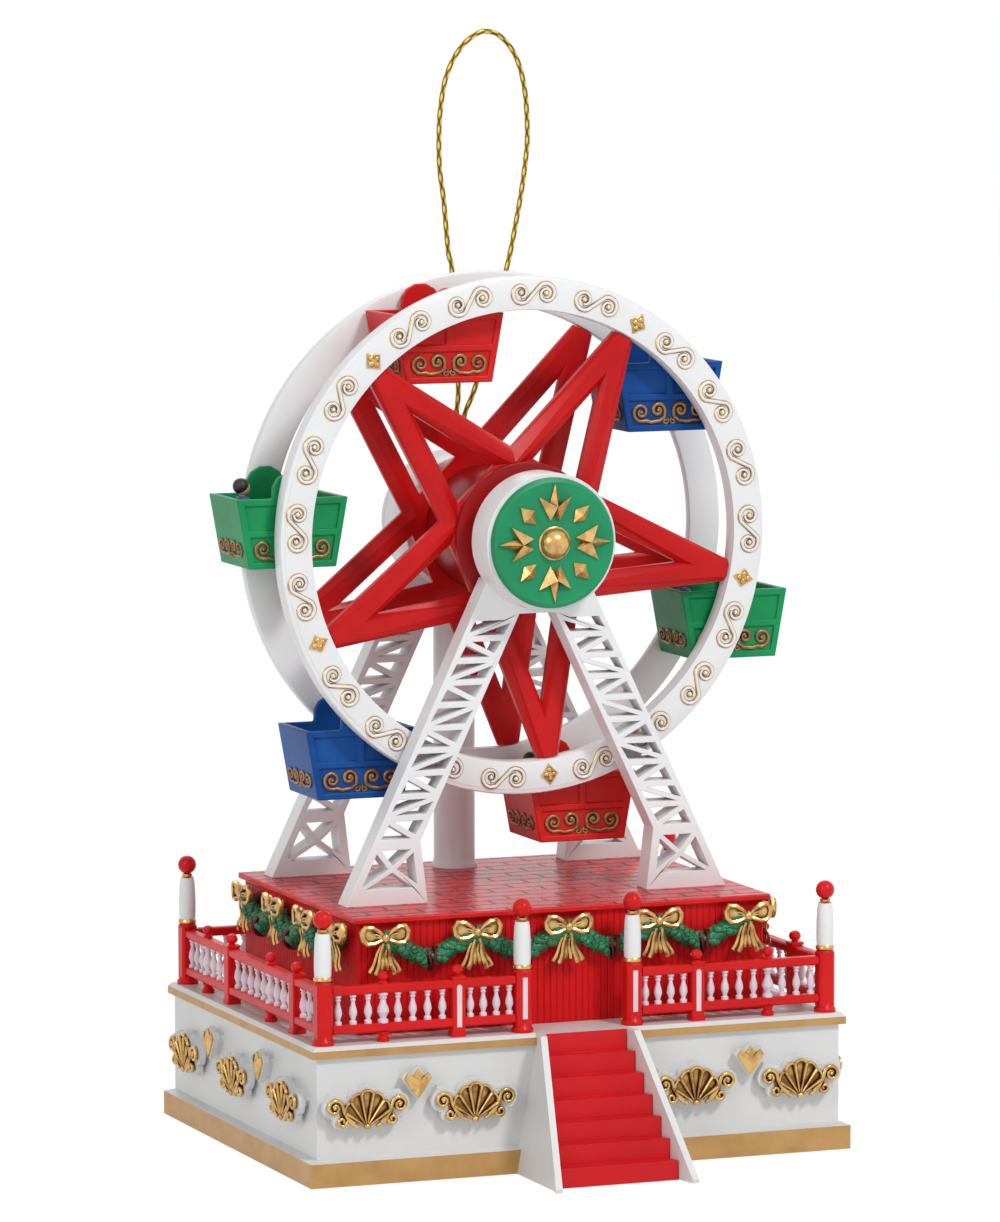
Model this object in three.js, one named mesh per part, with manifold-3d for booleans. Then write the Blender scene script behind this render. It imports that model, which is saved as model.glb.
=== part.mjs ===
// A musical ferris wheel ornament: a square plinth with stairs and a fenced terrace, a deck
// house, two lattice towers, a turning wheel with six hanging gondolas, and the wind-up
// movement that drives it. Millimetres, +Z up, +Y to the back, origin under the middle.
import * as THREE from "three";
import { mergeVertices } from "three/addons/utils/BufferGeometryUtils.js";
import Module from "manifold-3d";

const wasm = await Module();
wasm.setup();

// Driving sizes.
const overrun = 0.6; // how far a cutter runs past the face it cuts
const clearance = 0.3; // running gap, and the gap to a seat

const plinth = {
  width: 92, bandHeight: 3.8, bandBevel: 0.5, wallInset: 1.5, slabDrop: 1.8,
  slabInset: 0.6, slabBevel: 0.6, slabEdge: 1.2, height: 22, wall: 2.4, slab: 2.2,
};
const stair = {
  count: 7, treadDepth: 2.26, topHalf: 6.85, footHalf: 10.94, cheek: 1.1, cheekTip: 3.39,
  cheekBack: 2.3, tipHeight: 0.6, nosing: 0.65, seam: 0.1, batter: 3.6,
};
const inside = {
  plateLow: 7, plateThick: 1.5, bossRadius: 2.4, bossInset: 8,
  keyHole: 2.6, keyBack: 17.5, keyStem: 1.4, keyHead: 1.8, keyWing: 7.4, keyLow: 0.9, keyHigh: 5.6,
  caseHalf: 18, caseFront: 6.8, caseBack: 10.9, caseGap: 1.1, shaftRadius: 1.1, shaftHole: 1.5,
};
const cartouche = {
  frontShares: [0.409, 0.802], budShare: 0.615, sideShares: [0.167, 0.5, 0.833],
  sideBudShares: [0.333, 0.667], rise: 0.559, budRise: 0.714,
  width: 14, height: 6, budWidth: 4.4, budHeight: 4, proud: 1,
};
const deck = {
  sideWalk: 10.4, frontWalk: 8.3, backWalk: 7.9, backMargin: 4.3, rise: 18.7,
  thickness: 1, wallInset: 0.9, wall: 1.6,
};
const fence = {
  inset: 2.9, bottomRail: 1.6, topRail: 7.7, railWidth: 1.8, railHeight: 1.4,
  balusterRadius: 0.62, pitch: 2.45, postWidth: 2.1, postRise: 9.6, ballRadius: 1, seat: 0.3,
  lap: 0.2, waistShare: 0.62, bulbShare: 0.4, stairPost: 9.4, frontPostShare: 0.313,
  frontFinialShare: 0.72, sidePitch: 2.9, finialRadius: 0.95, finialNeck: 0.4, finialBall: 0.85,
  sidePostShares: [0.167, 0.668], sideFinialShares: [0.366, 0.857],
};
const tallPost = {
  footRadius: 1.75, footHeight: 1.4, shaftWidth: 2.6, shaftRise: 10, collarRadius: 1.55,
  collarHeight: 0.9, upperRadius: 1.15, upperRise: 17.6, neckRadius: 0.8, neckHeight: 0.9,
  ballRadius: 1.5,
};
const tower = {
  frontMargin: 11.7, thickness: 4, footMargin: 2.9, outerTop: 8.5, apex: 5.7,
  footWidth: 13.85, kinkWidth: 12.65, kinkRise: 10, innerTop: 3.1, headDrop: 11.8,
  bar: 1.05, rung: 1, brace: 0.9, footBar: 2.35, footShare: 0.76,
};
const rungDrop = 0.4; // from the fork of the legs to the highest rung
const rungShares = [0, 0.108, 0.204, 0.307, 0.409, 0.509, 0.611, 0.71, 0.808, 0.906, 1];
const wheel = {
  outer: 41.6, rimWidth: 5.4, frontGap: 1.2, frontThick: 3.3,
  rearThick: 2, bevel: 0.5, starThick: 2.9, rearStarThick: 1.6, concave: 14.4, strut: 4,
  starTurn: 61, starTip: 1, ridgeFlat: 0.15, points: 5, ridge: 0.9, starBack: 0.4, tipGap: 0.1,
  flangeRadius: 12,
  flangeThick: 1, drumRadius: 10.2, collarRadius: 10.3, collarLength: 4, axleRadius: 1.5,
  facets: 48, fit: 0.1,
};
const drive = {
  gearRadius: 7.4, gearWidth: 1.8, gearPlate: 1.4, tooth: 1, toothCount: 30, pinionCount: 10,
  pinionRadius: 2.5, pinionLength: 1.4, pinionTooth: 0.8, toothShare: 0.4, tipShare: 0.5,
  mesh: 0.6,
};
const head = {
  frontRadius: 11, overhang: 6, lap: 0.6, bearingRadius: 8, socket: 7,
  capRadius: 10.4, capThick: 1.2, capSeat: 0.1,
  bossRadius: 2.5, relief: 0.6, crownRoot: 3.6, crownTip: 9.5, crownHalf: 2.75, kiteRoot: 4.5,
  kiteTip: 8.3, kiteHalf: 1.25, rearRadius: 11.2, rearGap: 1.3, rearOverhang: 5,
  rearDepth: 9.9, rearWall: 1.4,
};
const bow = {
  width: 8.1, height: 8, drop: 3.1, proud: 2.6, thick: 1.4, frontEnd: 3.7, sideEnd: 4.7,
  frontCount: 5, sideCount: 4, seat: 0.1,
};
const garland = { radius: 1.2, sag: 2.9, sides: 5, steps: 4, shares: [0, 0.25, 0.5, 0.75, 1] };
const cord = { radius: 0.42, sides: 8, steps: 54, knotRadius: 0.9, lug: 1, lugRise: 0.2, lugHole: 0.45 };
const column = {
  radius: 3.4, bore: 2.2, baseRadius: 3.9, baseHeight: 1.5, headGap: 0.7,
};
const gondola = {
  pivotInset: 2.5, firstTurn: 107, deckGap: 5.5, rimGap: 0.5, topWidth: 18.7, bottomWidth: 14.7, rimDrop: 1.7,
  height: 11.1, depth: 13.6, wall: 1, floor: 1.1, earRise: 2.5, earRadius: 3.4,
  panelDepth: 0.4, frame: 1.1, pinRadius: 0.8, pinReach: 1.4, pinGap: 0.3, earFillet: 1.5,
  middleShare: 0.5, benchWidth: 3.4, benchHeight: 4.2,
};
const rider = {
  fromMiddle: 6.1, hipRadius: 1.3, waistRadius: 1.05, shoulderRadius: 1.35, neckRadius: 0.5,
  torso: 4.6, neck: 0.5, headRadius: 0.95, legLength: 2.6, legWidth: 0.8, legGap: 0.3,
};

// The frame the sizes are placed in.
const stairReach = stair.nosing + stair.treadDepth * (stair.count - 1) + stair.cheekTip;
// Heights over the floor, and depths behind the plinth's front edge from the front tower to
// the back of the deck.
const level = {
  wall: plinth.height - plinth.slabDrop, deck: plinth.height + deck.rise,
  bottomRail: plinth.height + fence.bottomRail, topRail: plinth.height + fence.topRail,
  postTop: plinth.height + fence.postRise, shaftTop: plinth.height + tallPost.shaftRise,
  upperTop: plinth.height + tallPost.upperRise,
  caseTop: plinth.height - plinth.slab - inside.caseGap,
};
const layout = { towerFront: deck.frontWalk + tower.frontMargin };
layout.rimFront = layout.towerFront + tower.thickness + wheel.frontGap;
layout.gondola = layout.rimFront + wheel.frontThick + gondola.rimGap;
layout.rimRear = layout.gondola + gondola.depth + gondola.rimGap;
layout.headRear = layout.rimRear + wheel.rearStarThick + wheel.collarLength + head.rearGap;
layout.towerRear = layout.headRear + head.rearOverhang;
layout.deckBack = layout.towerRear + tower.thickness + deck.backMargin;
layout.plinth = layout.deckBack + deck.backWalk;
const plinthFront = (stairReach - layout.plinth) / 2;
const plinthBack = plinthFront + layout.plinth;
const pivotRadius = wheel.outer - gondola.pivotInset;
const axisZ = level.deck + gondola.deckGap + gondola.height + gondola.rimDrop + pivotRadius;
const innerRadius = wheel.outer - wheel.rimWidth;
const deckHalf = plinth.width / 2 - deck.sideWalk;
const depthAt = (fromPlinthFront) => plinthFront + fromPlinthFront;
const sides = [-1, 1];

// Materials.
const paint = (color, roughness = 0.4, metalness = 0) =>
  new THREE.MeshStandardMaterial({ color, roughness, metalness });
const finish = {
  white: paint(0xe2dfdc, 0.35), red: paint(0xab1216, 0.35), deckRed: paint(0xb01a20, 0.4),
  green: paint(0x1f7a4a, 0.4), blue: paint(0x1f4f94, 0.4), gold: paint(0xa87b3c, 0.35, 0.8),
  steel: paint(0xa9abad, 0.3, 1), brass: paint(0xb8934a, 0.3, 1), cord: paint(0xb8912f, 0.5, 0.3),
  dark: paint(0x2f2d2c, 0.5), skin: paint(0xd9a987, 0.6),
};

// Solids from geometry.
/** Turns a three.js geometry into a solid, with its faces pointing out. */
function solid(geometry) {
  const bare = geometry.clone();
  bare.deleteAttribute("normal");
  bare.deleteAttribute("uv");
  const merged = mergeVertices(bare);
  const points = merged.attributes.position.array;
  const faces = [];
  const index = merged.index.array;
  let volume = 0;
  for (let i = 0; i < index.length; i += 3) {
    const [a, b, c] = [index[i], index[i + 1], index[i + 2]];
    if (a === b || b === c || a === c) continue;
    faces.push(a, b, c);
    const at = (k) => new THREE.Vector3().fromArray(points, 3 * k);
    volume += at(a).dot(at(b).cross(at(c)));
  }
  if (volume < 0) faces.reverse();
  return new wasm.Manifold(new wasm.Mesh({
    numProp: 3, vertProperties: new Float32Array(points), triVerts: new Uint32Array(faces),
  }));
}

const joined = (list) => list.reduce((whole, piece) => whole.add(piece));

/** A box between two corners. */
function block([x0, x1], [y0, y1], [z0, z1]) {
  const box = new THREE.BoxGeometry(x1 - x0, y1 - y0, z1 - z0);
  return solid(box.translate((x0 + x1) / 2, (y0 + y1) / 2, (z0 + z1) / 2));
}

/** A closed outline from a list of [u, v] points. */
function outline(points, holes = []) {
  const shape = new THREE.Shape(points.map(([u, v]) => new THREE.Vector2(u, v)));
  shape.holes = holes.map((hole) => new THREE.Path(hole.map(([u, v]) => new THREE.Vector2(u, v))));
  return shape;
}

const standing = new THREE.Matrix4().makeBasis(
  new THREE.Vector3(1, 0, 0), new THREE.Vector3(0, 0, 1), new THREE.Vector3(0, -1, 0));
const sideways = new THREE.Matrix4().makeBasis(
  new THREE.Vector3(0, 1, 0), new THREE.Vector3(0, 0, 1), new THREE.Vector3(1, 0, 0));

/** Extrudes an outline drawn in X and Z along Y, from y0 to y1. */
function plateY(shape, y0, y1, options = {}) {
  const shapeDepth = { depth: y1 - y0, bevelEnabled: false, curveSegments: 6, ...options };
  const flat = new THREE.ExtrudeGeometry(shape, shapeDepth);
  return solid(flat.applyMatrix4(standing).translate(0, y1, 0));
}

/** Extrudes an outline drawn in Y and Z along X, from x0 to x1. */
function plateX(shape, x0, x1) {
  const flat = new THREE.ExtrudeGeometry(shape, { depth: x1 - x0, bevelEnabled: false });
  return solid(flat.applyMatrix4(sideways).translate(x0, 0, 0));
}

/** Extrudes an outline drawn in X and Y upward, from z0 to z1. */
function plateZ(shape, z0, z1) {
  const flat = new THREE.ExtrudeGeometry(shape, { depth: z1 - z0, bevelEnabled: false });
  return solid(flat.translate(0, 0, z0));
}

/** Revolves a profile of [radius, height] points round a vertical axis at (x, y). */
function turned(profile, x, y, segments = 24) {
  const points = profile.map(([r, h]) => new THREE.Vector2(r, h));
  const lathe = new THREE.LatheGeometry(points, segments);
  return solid(lathe.rotateX(Math.PI / 2).translate(x, y, 0));
}

/** Revolves a profile of [radius, y] points round an axis along Y at (x, z). */
function turnedY(profile, x, z, segments = 24) {
  const points = profile.map(([r, h]) => new THREE.Vector2(r, h));
  return solid(new THREE.LatheGeometry(points, segments).translate(x, 0, z));
}

const rod = (radius, z0, z1, x, y, segments) =>
  turned([[0, z0], [radius, z0], [radius, z1], [0, z1]], x, y, segments);
const rodY = (radius, y0, y1, x, z, segments) =>
  turnedY([[0, y0], [radius, y0], [radius, y1], [0, y1]], x, z, segments);
const tubeY = (outer, inner, y0, y1, x, z, segments) =>
  turnedY([[inner, y0], [outer, y0], [outer, y1], [inner, y1], [inner, y0]], x, z, segments);

/** A point at a radius and an angle (degrees) round a centre. */
function polar(radius, degrees, [u, v] = [0, 0]) {
  const turn = THREE.MathUtils.degToRad(degrees);
  return [u + radius * Math.cos(turn), v + radius * Math.sin(turn)];
}

const model = new THREE.Group();

/** Adds a solid to a group as one named mesh. */
function add(name, body, material, group = model) {
  const { vertProperties, triVerts } = body.getMesh();
  const geometry = new THREE.BufferGeometry();
  geometry.setAttribute("position", new THREE.Float32BufferAttribute(vertProperties, 3));
  geometry.setIndex(new THREE.Uint32BufferAttribute(triVerts, 1));
  geometry.computeVertexNormals();
  const mesh = new THREE.Mesh(geometry, material);
  mesh.name = name;
  group.add(mesh);
  return mesh;
}

// Plinth.
const half = plinth.width / 2;
const inset = (d) => [
  [-half + d, plinthFront + d], [half - d, plinthFront + d],
  [half - d, plinthBack - d], [-half + d, plinthBack - d],
];

/** A block whose four sides lean from one inset to another. */
function frustum(lowInset, highInset, z0, z1) {
  const low = inset(lowInset).map(([x, y]) => [x, y, z0]);
  const high = inset(highInset).map(([x, y]) => [x, y, z1]);
  const geometry = new THREE.BufferGeometry();
  geometry.setAttribute("position", new THREE.Float32BufferAttribute([...low, ...high].flat(), 3));
  const faces = [0, 2, 1, 0, 3, 2, 4, 5, 6, 4, 6, 7];
  for (let i = 0; i < 4; i += 1) {
    const next = (i + 1) % 4;
    faces.push(i, next, next + 4, i, next + 4, i + 4);
  }
  geometry.setIndex(faces);
  return solid(geometry);
}

const slabLow = level.wall;
const slabHigh = slabLow + plinth.slabEdge;
const plinthBody = joined([
  frustum(0, 0, 0, plinth.bandHeight),
  frustum(0, plinth.wallInset, plinth.bandHeight, plinth.bandHeight + plinth.bandBevel),
  frustum(plinth.wallInset, plinth.wallInset, plinth.bandHeight, slabLow),
  frustum(plinth.slabInset, plinth.slabInset, slabLow, slabHigh),
  frustum(plinth.slabInset, plinth.slabInset + plinth.slabBevel, slabHigh, plinth.height),
]);
const hollowInset = plinth.wallInset + plinth.wall;
const hollowTop = plinth.height - plinth.slab;
const hollow = frustum(hollowInset, hollowInset, -overrun, hollowTop);

// Stairs.
const rise = plinth.height / stair.count;
const flightBack = plinthFront - stair.seam;
const stepSide = [[flightBack, 0]];
for (let i = stair.count - 1; i >= 0; i -= 1) {
  const face = plinthFront - stair.nosing - stair.treadDepth * i;
  const top = plinth.height - rise * i;
  stepSide.push([face, top - rise], [face, top]);
}
stepSide.push([flightBack, plinth.height]);

/** The plan of the flight, as wide as the stairs plus a margin on both sides. */
function flightPlan(margin) {
  const tip = plinthFront - stairReach;
  return outline([
    [-stair.topHalf - margin, plinthFront + overrun], [-stair.topHalf - margin, plinthFront],
    [-stair.footHalf - margin, tip], [stair.footHalf + margin, tip],
    [stair.topHalf + margin, plinthFront], [stair.topHalf + margin, plinthFront + overrun],
  ].reverse());
}

const cheekSide = outline([
  [plinthFront - stairReach, 0], [plinthFront + plinth.wallInset + overrun, 0],
  [plinthFront + plinth.wallInset + overrun, plinth.height], [plinthFront - stair.cheekBack, plinth.height],
  [plinthFront - stairReach, stair.tipHeight],
]);
const spread = stair.footHalf + stair.cheek + overrun;
const flightSpace = plateZ(flightPlan(0), -overrun, plinth.height + overrun);
const cheeks = plateX(cheekSide, -spread, spread)
  .intersect(plateZ(outline([
    [-stair.topHalf - stair.cheek, plinthFront + plinth.wallInset + overrun],
    [-stair.topHalf - stair.cheek, plinthFront],
    [-stair.footHalf - stair.cheek, plinthFront - stairReach],
    [stair.footHalf + stair.cheek, plinthFront - stairReach],
    [stair.topHalf + stair.cheek, plinthFront],
    [stair.topHalf + stair.cheek, plinthFront + plinth.wallInset + overrun],
  ].reverse()), -overrun, plinth.height + overrun))
  .subtract(flightSpace);
const cheekTop = stair.topHalf + stair.cheek;
const cheekRoot = plinthFront + plinth.wallInset + overrun;
const cheekCore = cheekTop - stair.cheek / 2; // the lean starts inside the cheek
/** The lean of one cheek's outer face, from the top of the wall out to the foot. */
const batters = sides.map((side) => wasm.Manifold.hull([
  ...[0, plinth.height - stair.seam].flatMap((z) => [
    [side * cheekCore, plinthFront, z], [side * cheekCore, cheekRoot, z]]),
  [side * (cheekTop + stair.batter), plinthFront, 0],
  [side * (cheekTop + stair.batter), cheekRoot, 0],
  [side * (stair.footHalf + stair.cheek / 2), plinthFront - stairReach + stair.seam, 0],
]));
const flight = plateX(outline(stepSide), -spread, spread)
  .intersect(plateZ(flightPlan(-stair.seam), -overrun, plinth.height + overrun));

// Plinth with its hollow, its screw bosses and its opening to the deck house.
const deckFront = depthAt(deck.frontWalk);
const deckBack = depthAt(layout.deckBack);
const houseHalf = deckHalf - deck.wallInset;
const houseFront = deckFront + deck.wallInset;
const houseBack = deckBack - deck.wallInset;
const bossPlaces = sides.flatMap((x) => [plinthFront, plinthBack].map((y) => [
  x * (half - inside.bossInset), y + (y < 0 ? inside.bossInset : -inside.bossInset)]));
const plateHigh = inside.plateLow + inside.plateThick;
const bosses = joined(bossPlaces.map(([x, y]) =>
  rod(inside.bossRadius, plateHigh, hollowTop + overrun, x, y, 12)));
const wellHalf = houseHalf - deck.wall;
const well = block(
  [-wellHalf, wellHalf], [houseFront + deck.wall, houseBack - deck.wall],
  [hollowTop - overrun, plinth.height + overrun]);
// Half outlines of the shell and of the bud, as shares of width and height, from top to bottom.
const shellShares = [
  [0.12, 0.5], [0.25, 0.34], [0.42, 0.42], [0.5, 0.14], [0.4, -0.06], [0.27, -0.06],
  [0.16, -0.42], [0.04, -0.5],
];
const budShares = [[0.08, 0.5], [0.16, 0.22], [0.46, 0.34], [0.5, 0.1], [0.3, -0.22], [0.08, -0.5]];

/** A raised ornament, standing out of a wall that faces -Y at y = 0. */
function relief(shares, width, height) {
  const points = shares.map(([u, v]) => [u * width, v * height]);
  const mirrored = points.map(([u, v]) => [-u, v]).reverse();
  const shape = outline([...points, ...mirrored].reverse());
  return plateY(shape, -cartouche.proud, overrun);
}

const shell = relief(shellShares, cartouche.width, cartouche.height);
const bud = relief(budShares, cartouche.budWidth, cartouche.budHeight);
const wallFront = plinthFront + plinth.wallInset;
const wallHalf = half - plinth.wallInset;
const quarter = 90; // degrees between two neighbouring walls
const shellZ = plinth.height * cartouche.rise;
const budZ = plinth.height * cartouche.budRise;
const alongSide = (share) => depthAt(share * layout.plinth);
const onFront = (form, x, z) => form.translate([x, wallFront, z]);
const onSide = (form, side, y, z) =>
  form.rotate([0, 0, side * quarter]).translate([side * wallHalf, y, z]);
const reliefs = joined(sides.flatMap((side) => [
  ...cartouche.frontShares.map((share) => onFront(shell, side * share * half, shellZ)),
  onFront(bud, side * cartouche.budShare * half, budZ),
  ...cartouche.sideShares.map((share) => onSide(shell, side, alongSide(share), shellZ)),
  ...cartouche.sideBudShares.map((share) => onSide(bud, side, alongSide(share), budZ)),
]));
const housing = joined([plinthBody, cheeks, ...batters, reliefs]).subtract(hollow).add(bosses).subtract(well);
add("base_housing", housing, finish.white);
add("stair_flight", flight, finish.red);

const keyY = depthAt(inside.keyBack);
const plateInset = hollowInset + clearance;
const basePlate = frustum(plateInset, plateInset, inside.plateLow, plateHigh)
  .subtract(rod(inside.keyHole, inside.plateLow - overrun, plateHigh + overrun, 0, keyY, 20));
add("base_plate", basePlate, finish.dark);

// Deck house.
const houseTop = level.deck - deck.thickness;
const house = block([-houseHalf, houseHalf], [houseFront, houseBack], [plinth.height, houseTop])
  .subtract(block([-wellHalf, wellHalf], [houseFront + deck.wall, houseBack - deck.wall],
    [plinth.height - overrun, houseTop + overrun]));
add("deck_house", house, finish.red);
const columnY = depthAt(layout.towerRear + tower.thickness / 2);
const deckFloor = block([-deckHalf, deckHalf], [deckFront, deckBack], [houseTop, level.deck])
  .subtract(rod(inside.shaftHole, houseTop - overrun, level.deck + overrun, 0, columnY, 16));
add("deck_floor", deckFloor, finish.deckRed);

// Terrace fence.
const fenceHalf = half - fence.inset - fence.seat;
const fenceFront = plinthFront + fence.inset + fence.seat;
const fenceBack = plinthBack - fence.inset - fence.seat;
const railTop = level.topRail + fence.railHeight;

/** A baluster turned with a swelling foot, between the two rails. */
function baluster(x, y, radius) {
  const low = level.bottomRail + fence.railHeight - fence.lap;
  const high = level.topRail + fence.lap;
  const at = (share) => low + (high - low) * share;
  const waist = radius * fence.waistShare;
  return turned([
    [0, low], [waist, low], [radius, at(fence.bulbShare)], [waist, high], [0, high],
  ], x, y, 4);
}

/** A square post with a ball, standing on the terrace. */
function smallPost(x, y) {
  const r = fence.postWidth / 2;
  const ball = level.postTop + fence.ballRadius - fence.lap;
  return block([x - r, x + r], [y - r, y + r], [plinth.height, level.postTop])
    .add(solid(new THREE.SphereGeometry(fence.ballRadius, 6, 5).translate(x, y, ball)));
}

/** A thicker baluster that carries a ball over the top rail and stands on a small foot. */
function finial(x, y) {
  const ball = railTop + fence.finialNeck + fence.finialBall;
  return baluster(x, y, fence.finialRadius)
    .add(rod(fence.finialRadius, plinth.height, level.bottomRail + fence.lap, x, y, 5))
    .add(rod(fence.finialBall / 2, railTop - fence.lap, ball, x, y, 4))
    .add(solid(new THREE.SphereGeometry(fence.finialBall, 6, 4).translate(x, y, ball)));
}

/** One run of fence along X or Y, from start to end, with its balusters, finials and posts. */
function fenceRun(alongX, line, [start, end], finials, posts, pitch) {
  const w = fence.railWidth / 2;
  const place = (t) => (alongX ? [t, line] : [line, t]);
  const rail = (z) => (alongX
    ? block([start, end], [line - w, line + w], [z, z + fence.railHeight])
    : block([line - w, line + w], [start, end], [z, z + fence.railHeight]));
  const pieces = [rail(level.bottomRail), rail(level.topRail)];
  pieces.push(...finials.map((t) => finial(...place(t))));
  pieces.push(...posts.map((t) => smallPost(...place(t))));
  const stops = [start, ...finials, ...posts, end].sort((a, b) => a - b);
  for (let i = 0; i + 1 < stops.length; i += 1) {
    const span = stops[i + 1] - stops[i];
    const count = Math.max(Math.round(span / pitch) - 1, 0);
    for (let k = 1; k <= count; k += 1) {
      const t = stops[i] + (span * k) / (count + 1);
      pieces.push(baluster(...place(t), fence.balusterRadius));
    }
  }
  return joined(pieces);
}

const postGap = tallPost.shaftWidth / 2 + clearance / 2;
const [nearY, farY] = [fenceFront + postGap, fenceBack - postGap];
const between = ([start, end]) => (share) => start + (end - start) * share;
const frontAt = between([fence.stairPost + postGap, fenceHalf - postGap]);
const sideAt = between([nearY, farY]);
for (const side of sides) {
  const word = side < 0 ? "left" : "right";
  const span = [side * (fenceHalf - postGap), side * (fence.stairPost + postGap)];
  add(`fence_front_${word}`, fenceRun(true, fenceFront, span.sort((a, b) => a - b),
    [side * frontAt(fence.frontFinialShare)], [side * frontAt(fence.frontPostShare)],
    fence.pitch), finish.red);
  add(`fence_${word}`, fenceRun(false, side * fenceHalf, [nearY, farY],
    fence.sideFinialShares.map(sideAt), fence.sidePostShares.map(sideAt), fence.sidePitch), finish.red);
}
add("fence_back", fenceRun(true, fenceBack, [postGap - fenceHalf, fenceHalf - postGap],
  sides.map((side) => side * frontAt(fence.frontFinialShare)),
  sides.map((side) => side * frontAt(fence.frontPostShare)),
  fence.sidePitch), finish.red);

/** A tall terrace post: flared foot, square shaft, gold collar, round white shaft, red ball. */
function lampPost(x, y) {
  const base = plinth.height;
  const collar = level.shaftTop + tallPost.collarHeight;
  const r = tallPost.shaftWidth / 2;
  const neck = level.upperTop + tallPost.neckHeight;
  const ball = neck + tallPost.ballRadius - fence.lap;
  return joined([
    turned([
      [0, base], [tallPost.footRadius, base], [tallPost.footRadius, base + tallPost.footHeight / 2],
      [r, base + tallPost.footHeight], [0, base + tallPost.footHeight],
    ], x, y, 6),
    block([x - r, x + r], [y - r, y + r], [base + tallPost.footHeight / 2, level.shaftTop]),
    turned([
      [0, level.shaftTop - fence.lap], [r, level.shaftTop], [tallPost.collarRadius, collar],
      [tallPost.upperRadius, collar], [tallPost.upperRadius, level.upperTop],
      [tallPost.neckRadius, level.upperTop], [tallPost.neckRadius, neck], [0, neck],
    ], x, y, 6),
    solid(new THREE.SphereGeometry(tallPost.ballRadius, 7, 5).translate(x, y, ball)),
  ]);
}

for (const side of sides) {
  const word = side < 0 ? "left" : "right";
  add(`post_front_${word}`, lampPost(side * fenceHalf, fenceFront), finish.white);
  add(`post_back_${word}`, lampPost(side * fenceHalf, fenceBack), finish.white);
  add(`post_stair_${word}`, lampPost(side * fence.stairPost, fenceFront), finish.white);
}

// Towers.
/** The X of a line through two [x, z] points at a height. */
const along = ([x0, z0], [x1, z1], z) => x0 + ((x1 - x0) * (z - z0)) / (z1 - z0);
const outerFoot = deckHalf - tower.footMargin;
const kinkZ = level.deck + tower.kinkRise;
const forkZ = axisZ - tower.headDrop;
const apexZ = forkZ + tower.apex;
const outerLow = [outerFoot, level.deck];
const outerHigh = [tower.outerTop, apexZ];
const kink = [outerFoot - tower.kinkWidth, kinkZ];
const innerHigh = [tower.innerTop, forkZ];
const innerLow = [outerFoot - tower.footWidth, level.deck];
const rungs = rungShares.map((share) => kinkZ + (forkZ - rungDrop - kinkZ) * share);
const outerX = (z) => along(outerLow, outerHigh, z);
const innerX = (z) => (z < kinkZ ? along(innerLow, kink, z) : along(kink, innerHigh, z));

/** The two triangular openings of one lattice cell, either side of its diagonal brace. */
function latticeCell(z0, z1, rising) {
  const [low, high] = [z0, z1].map((z) => [innerX(z) + tower.bar, outerX(z) - tower.bar]);
  const run = high[1] - low[0];
  const slope = Math.hypot(run, z1 - z0);
  const dx = (tower.brace / 2) * (slope / (z1 - z0));
  const dz = (tower.brace / 2) * (slope / run);
  return rising
    ? [[[low[0] + dx, z0], [low[1], z0], [high[1], z1 - dz]],
      [[low[0], z0 + dz], [high[1] - dx, z1], [high[0], z1]]]
    : [[[low[0], z0], [low[1] - dx, z0], [high[0], z1 - dz]],
      [[low[1], z0 + dz], [high[1], z1], [high[0] + dx, z1]]];
}

/** The four openings of the foot window, round its crossed braces. */
function footWindow() {
  const [z0, z1] = [level.deck + tower.footBar, kinkZ - tower.rung];
  const corners = [
    [innerX(z0) + tower.bar, z0], [outerX(z0) - tower.bar, z0],
    [outerX(z1) - tower.bar, z1], [innerX(z1) + tower.bar, z1],
  ];
  const middle = [0, 1].map((k) => corners.reduce((sum, p) => sum + p[k], 0) / corners.length);
  return corners.map((corner, i) => {
    const wedge = [corner, corners[(i + 1) % corners.length], middle];
    const centre = [0, 1].map((k) => wedge.reduce((sum, p) => sum + p[k], 0) / wedge.length);
    return wedge.map((p) => p.map((v, k) => centre[k] + (v - centre[k]) * tower.footShare));
  });
}

/** One A-frame: two lattice legs that meet under the head. */
function aFrame(y0) {
  const legEdge = [
    innerLow, outerLow, outerHigh, [-overrun, apexZ], [-overrun, forkZ],
    innerHigh, kink,
  ];
  const cells = rungs.slice(1).flatMap((z, i) => latticeCell(
    rungs[i] + tower.rung / 2, z - tower.rung / 2, i % 2 === 0));
  const leg = plateY(outline(legEdge, [...cells, ...footWindow()]), y0, y0 + tower.thickness);
  return leg.add(leg.mirror([1, 0, 0]));
}

const frontTowerY = depthAt(layout.towerFront);
const rearTowerY = depthAt(layout.towerRear);
const headFront = frontTowerY - head.overhang;
const axleSocket = wheel.axleRadius + clearance;
const frontHead = rodY(head.frontRadius, headFront, frontTowerY + head.lap, 0, axisZ, 40)
  .add(rodY(head.bearingRadius, frontTowerY, frontTowerY + tower.thickness, 0, axisZ, 24));
const frontTower = aFrame(frontTowerY).add(frontHead).subtract(rodY(axleSocket,
  frontTowerY + tower.thickness - head.socket, frontTowerY + tower.thickness + overrun,
  0, axisZ, 16));
add("front_tower", frontTower, finish.white);

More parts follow.
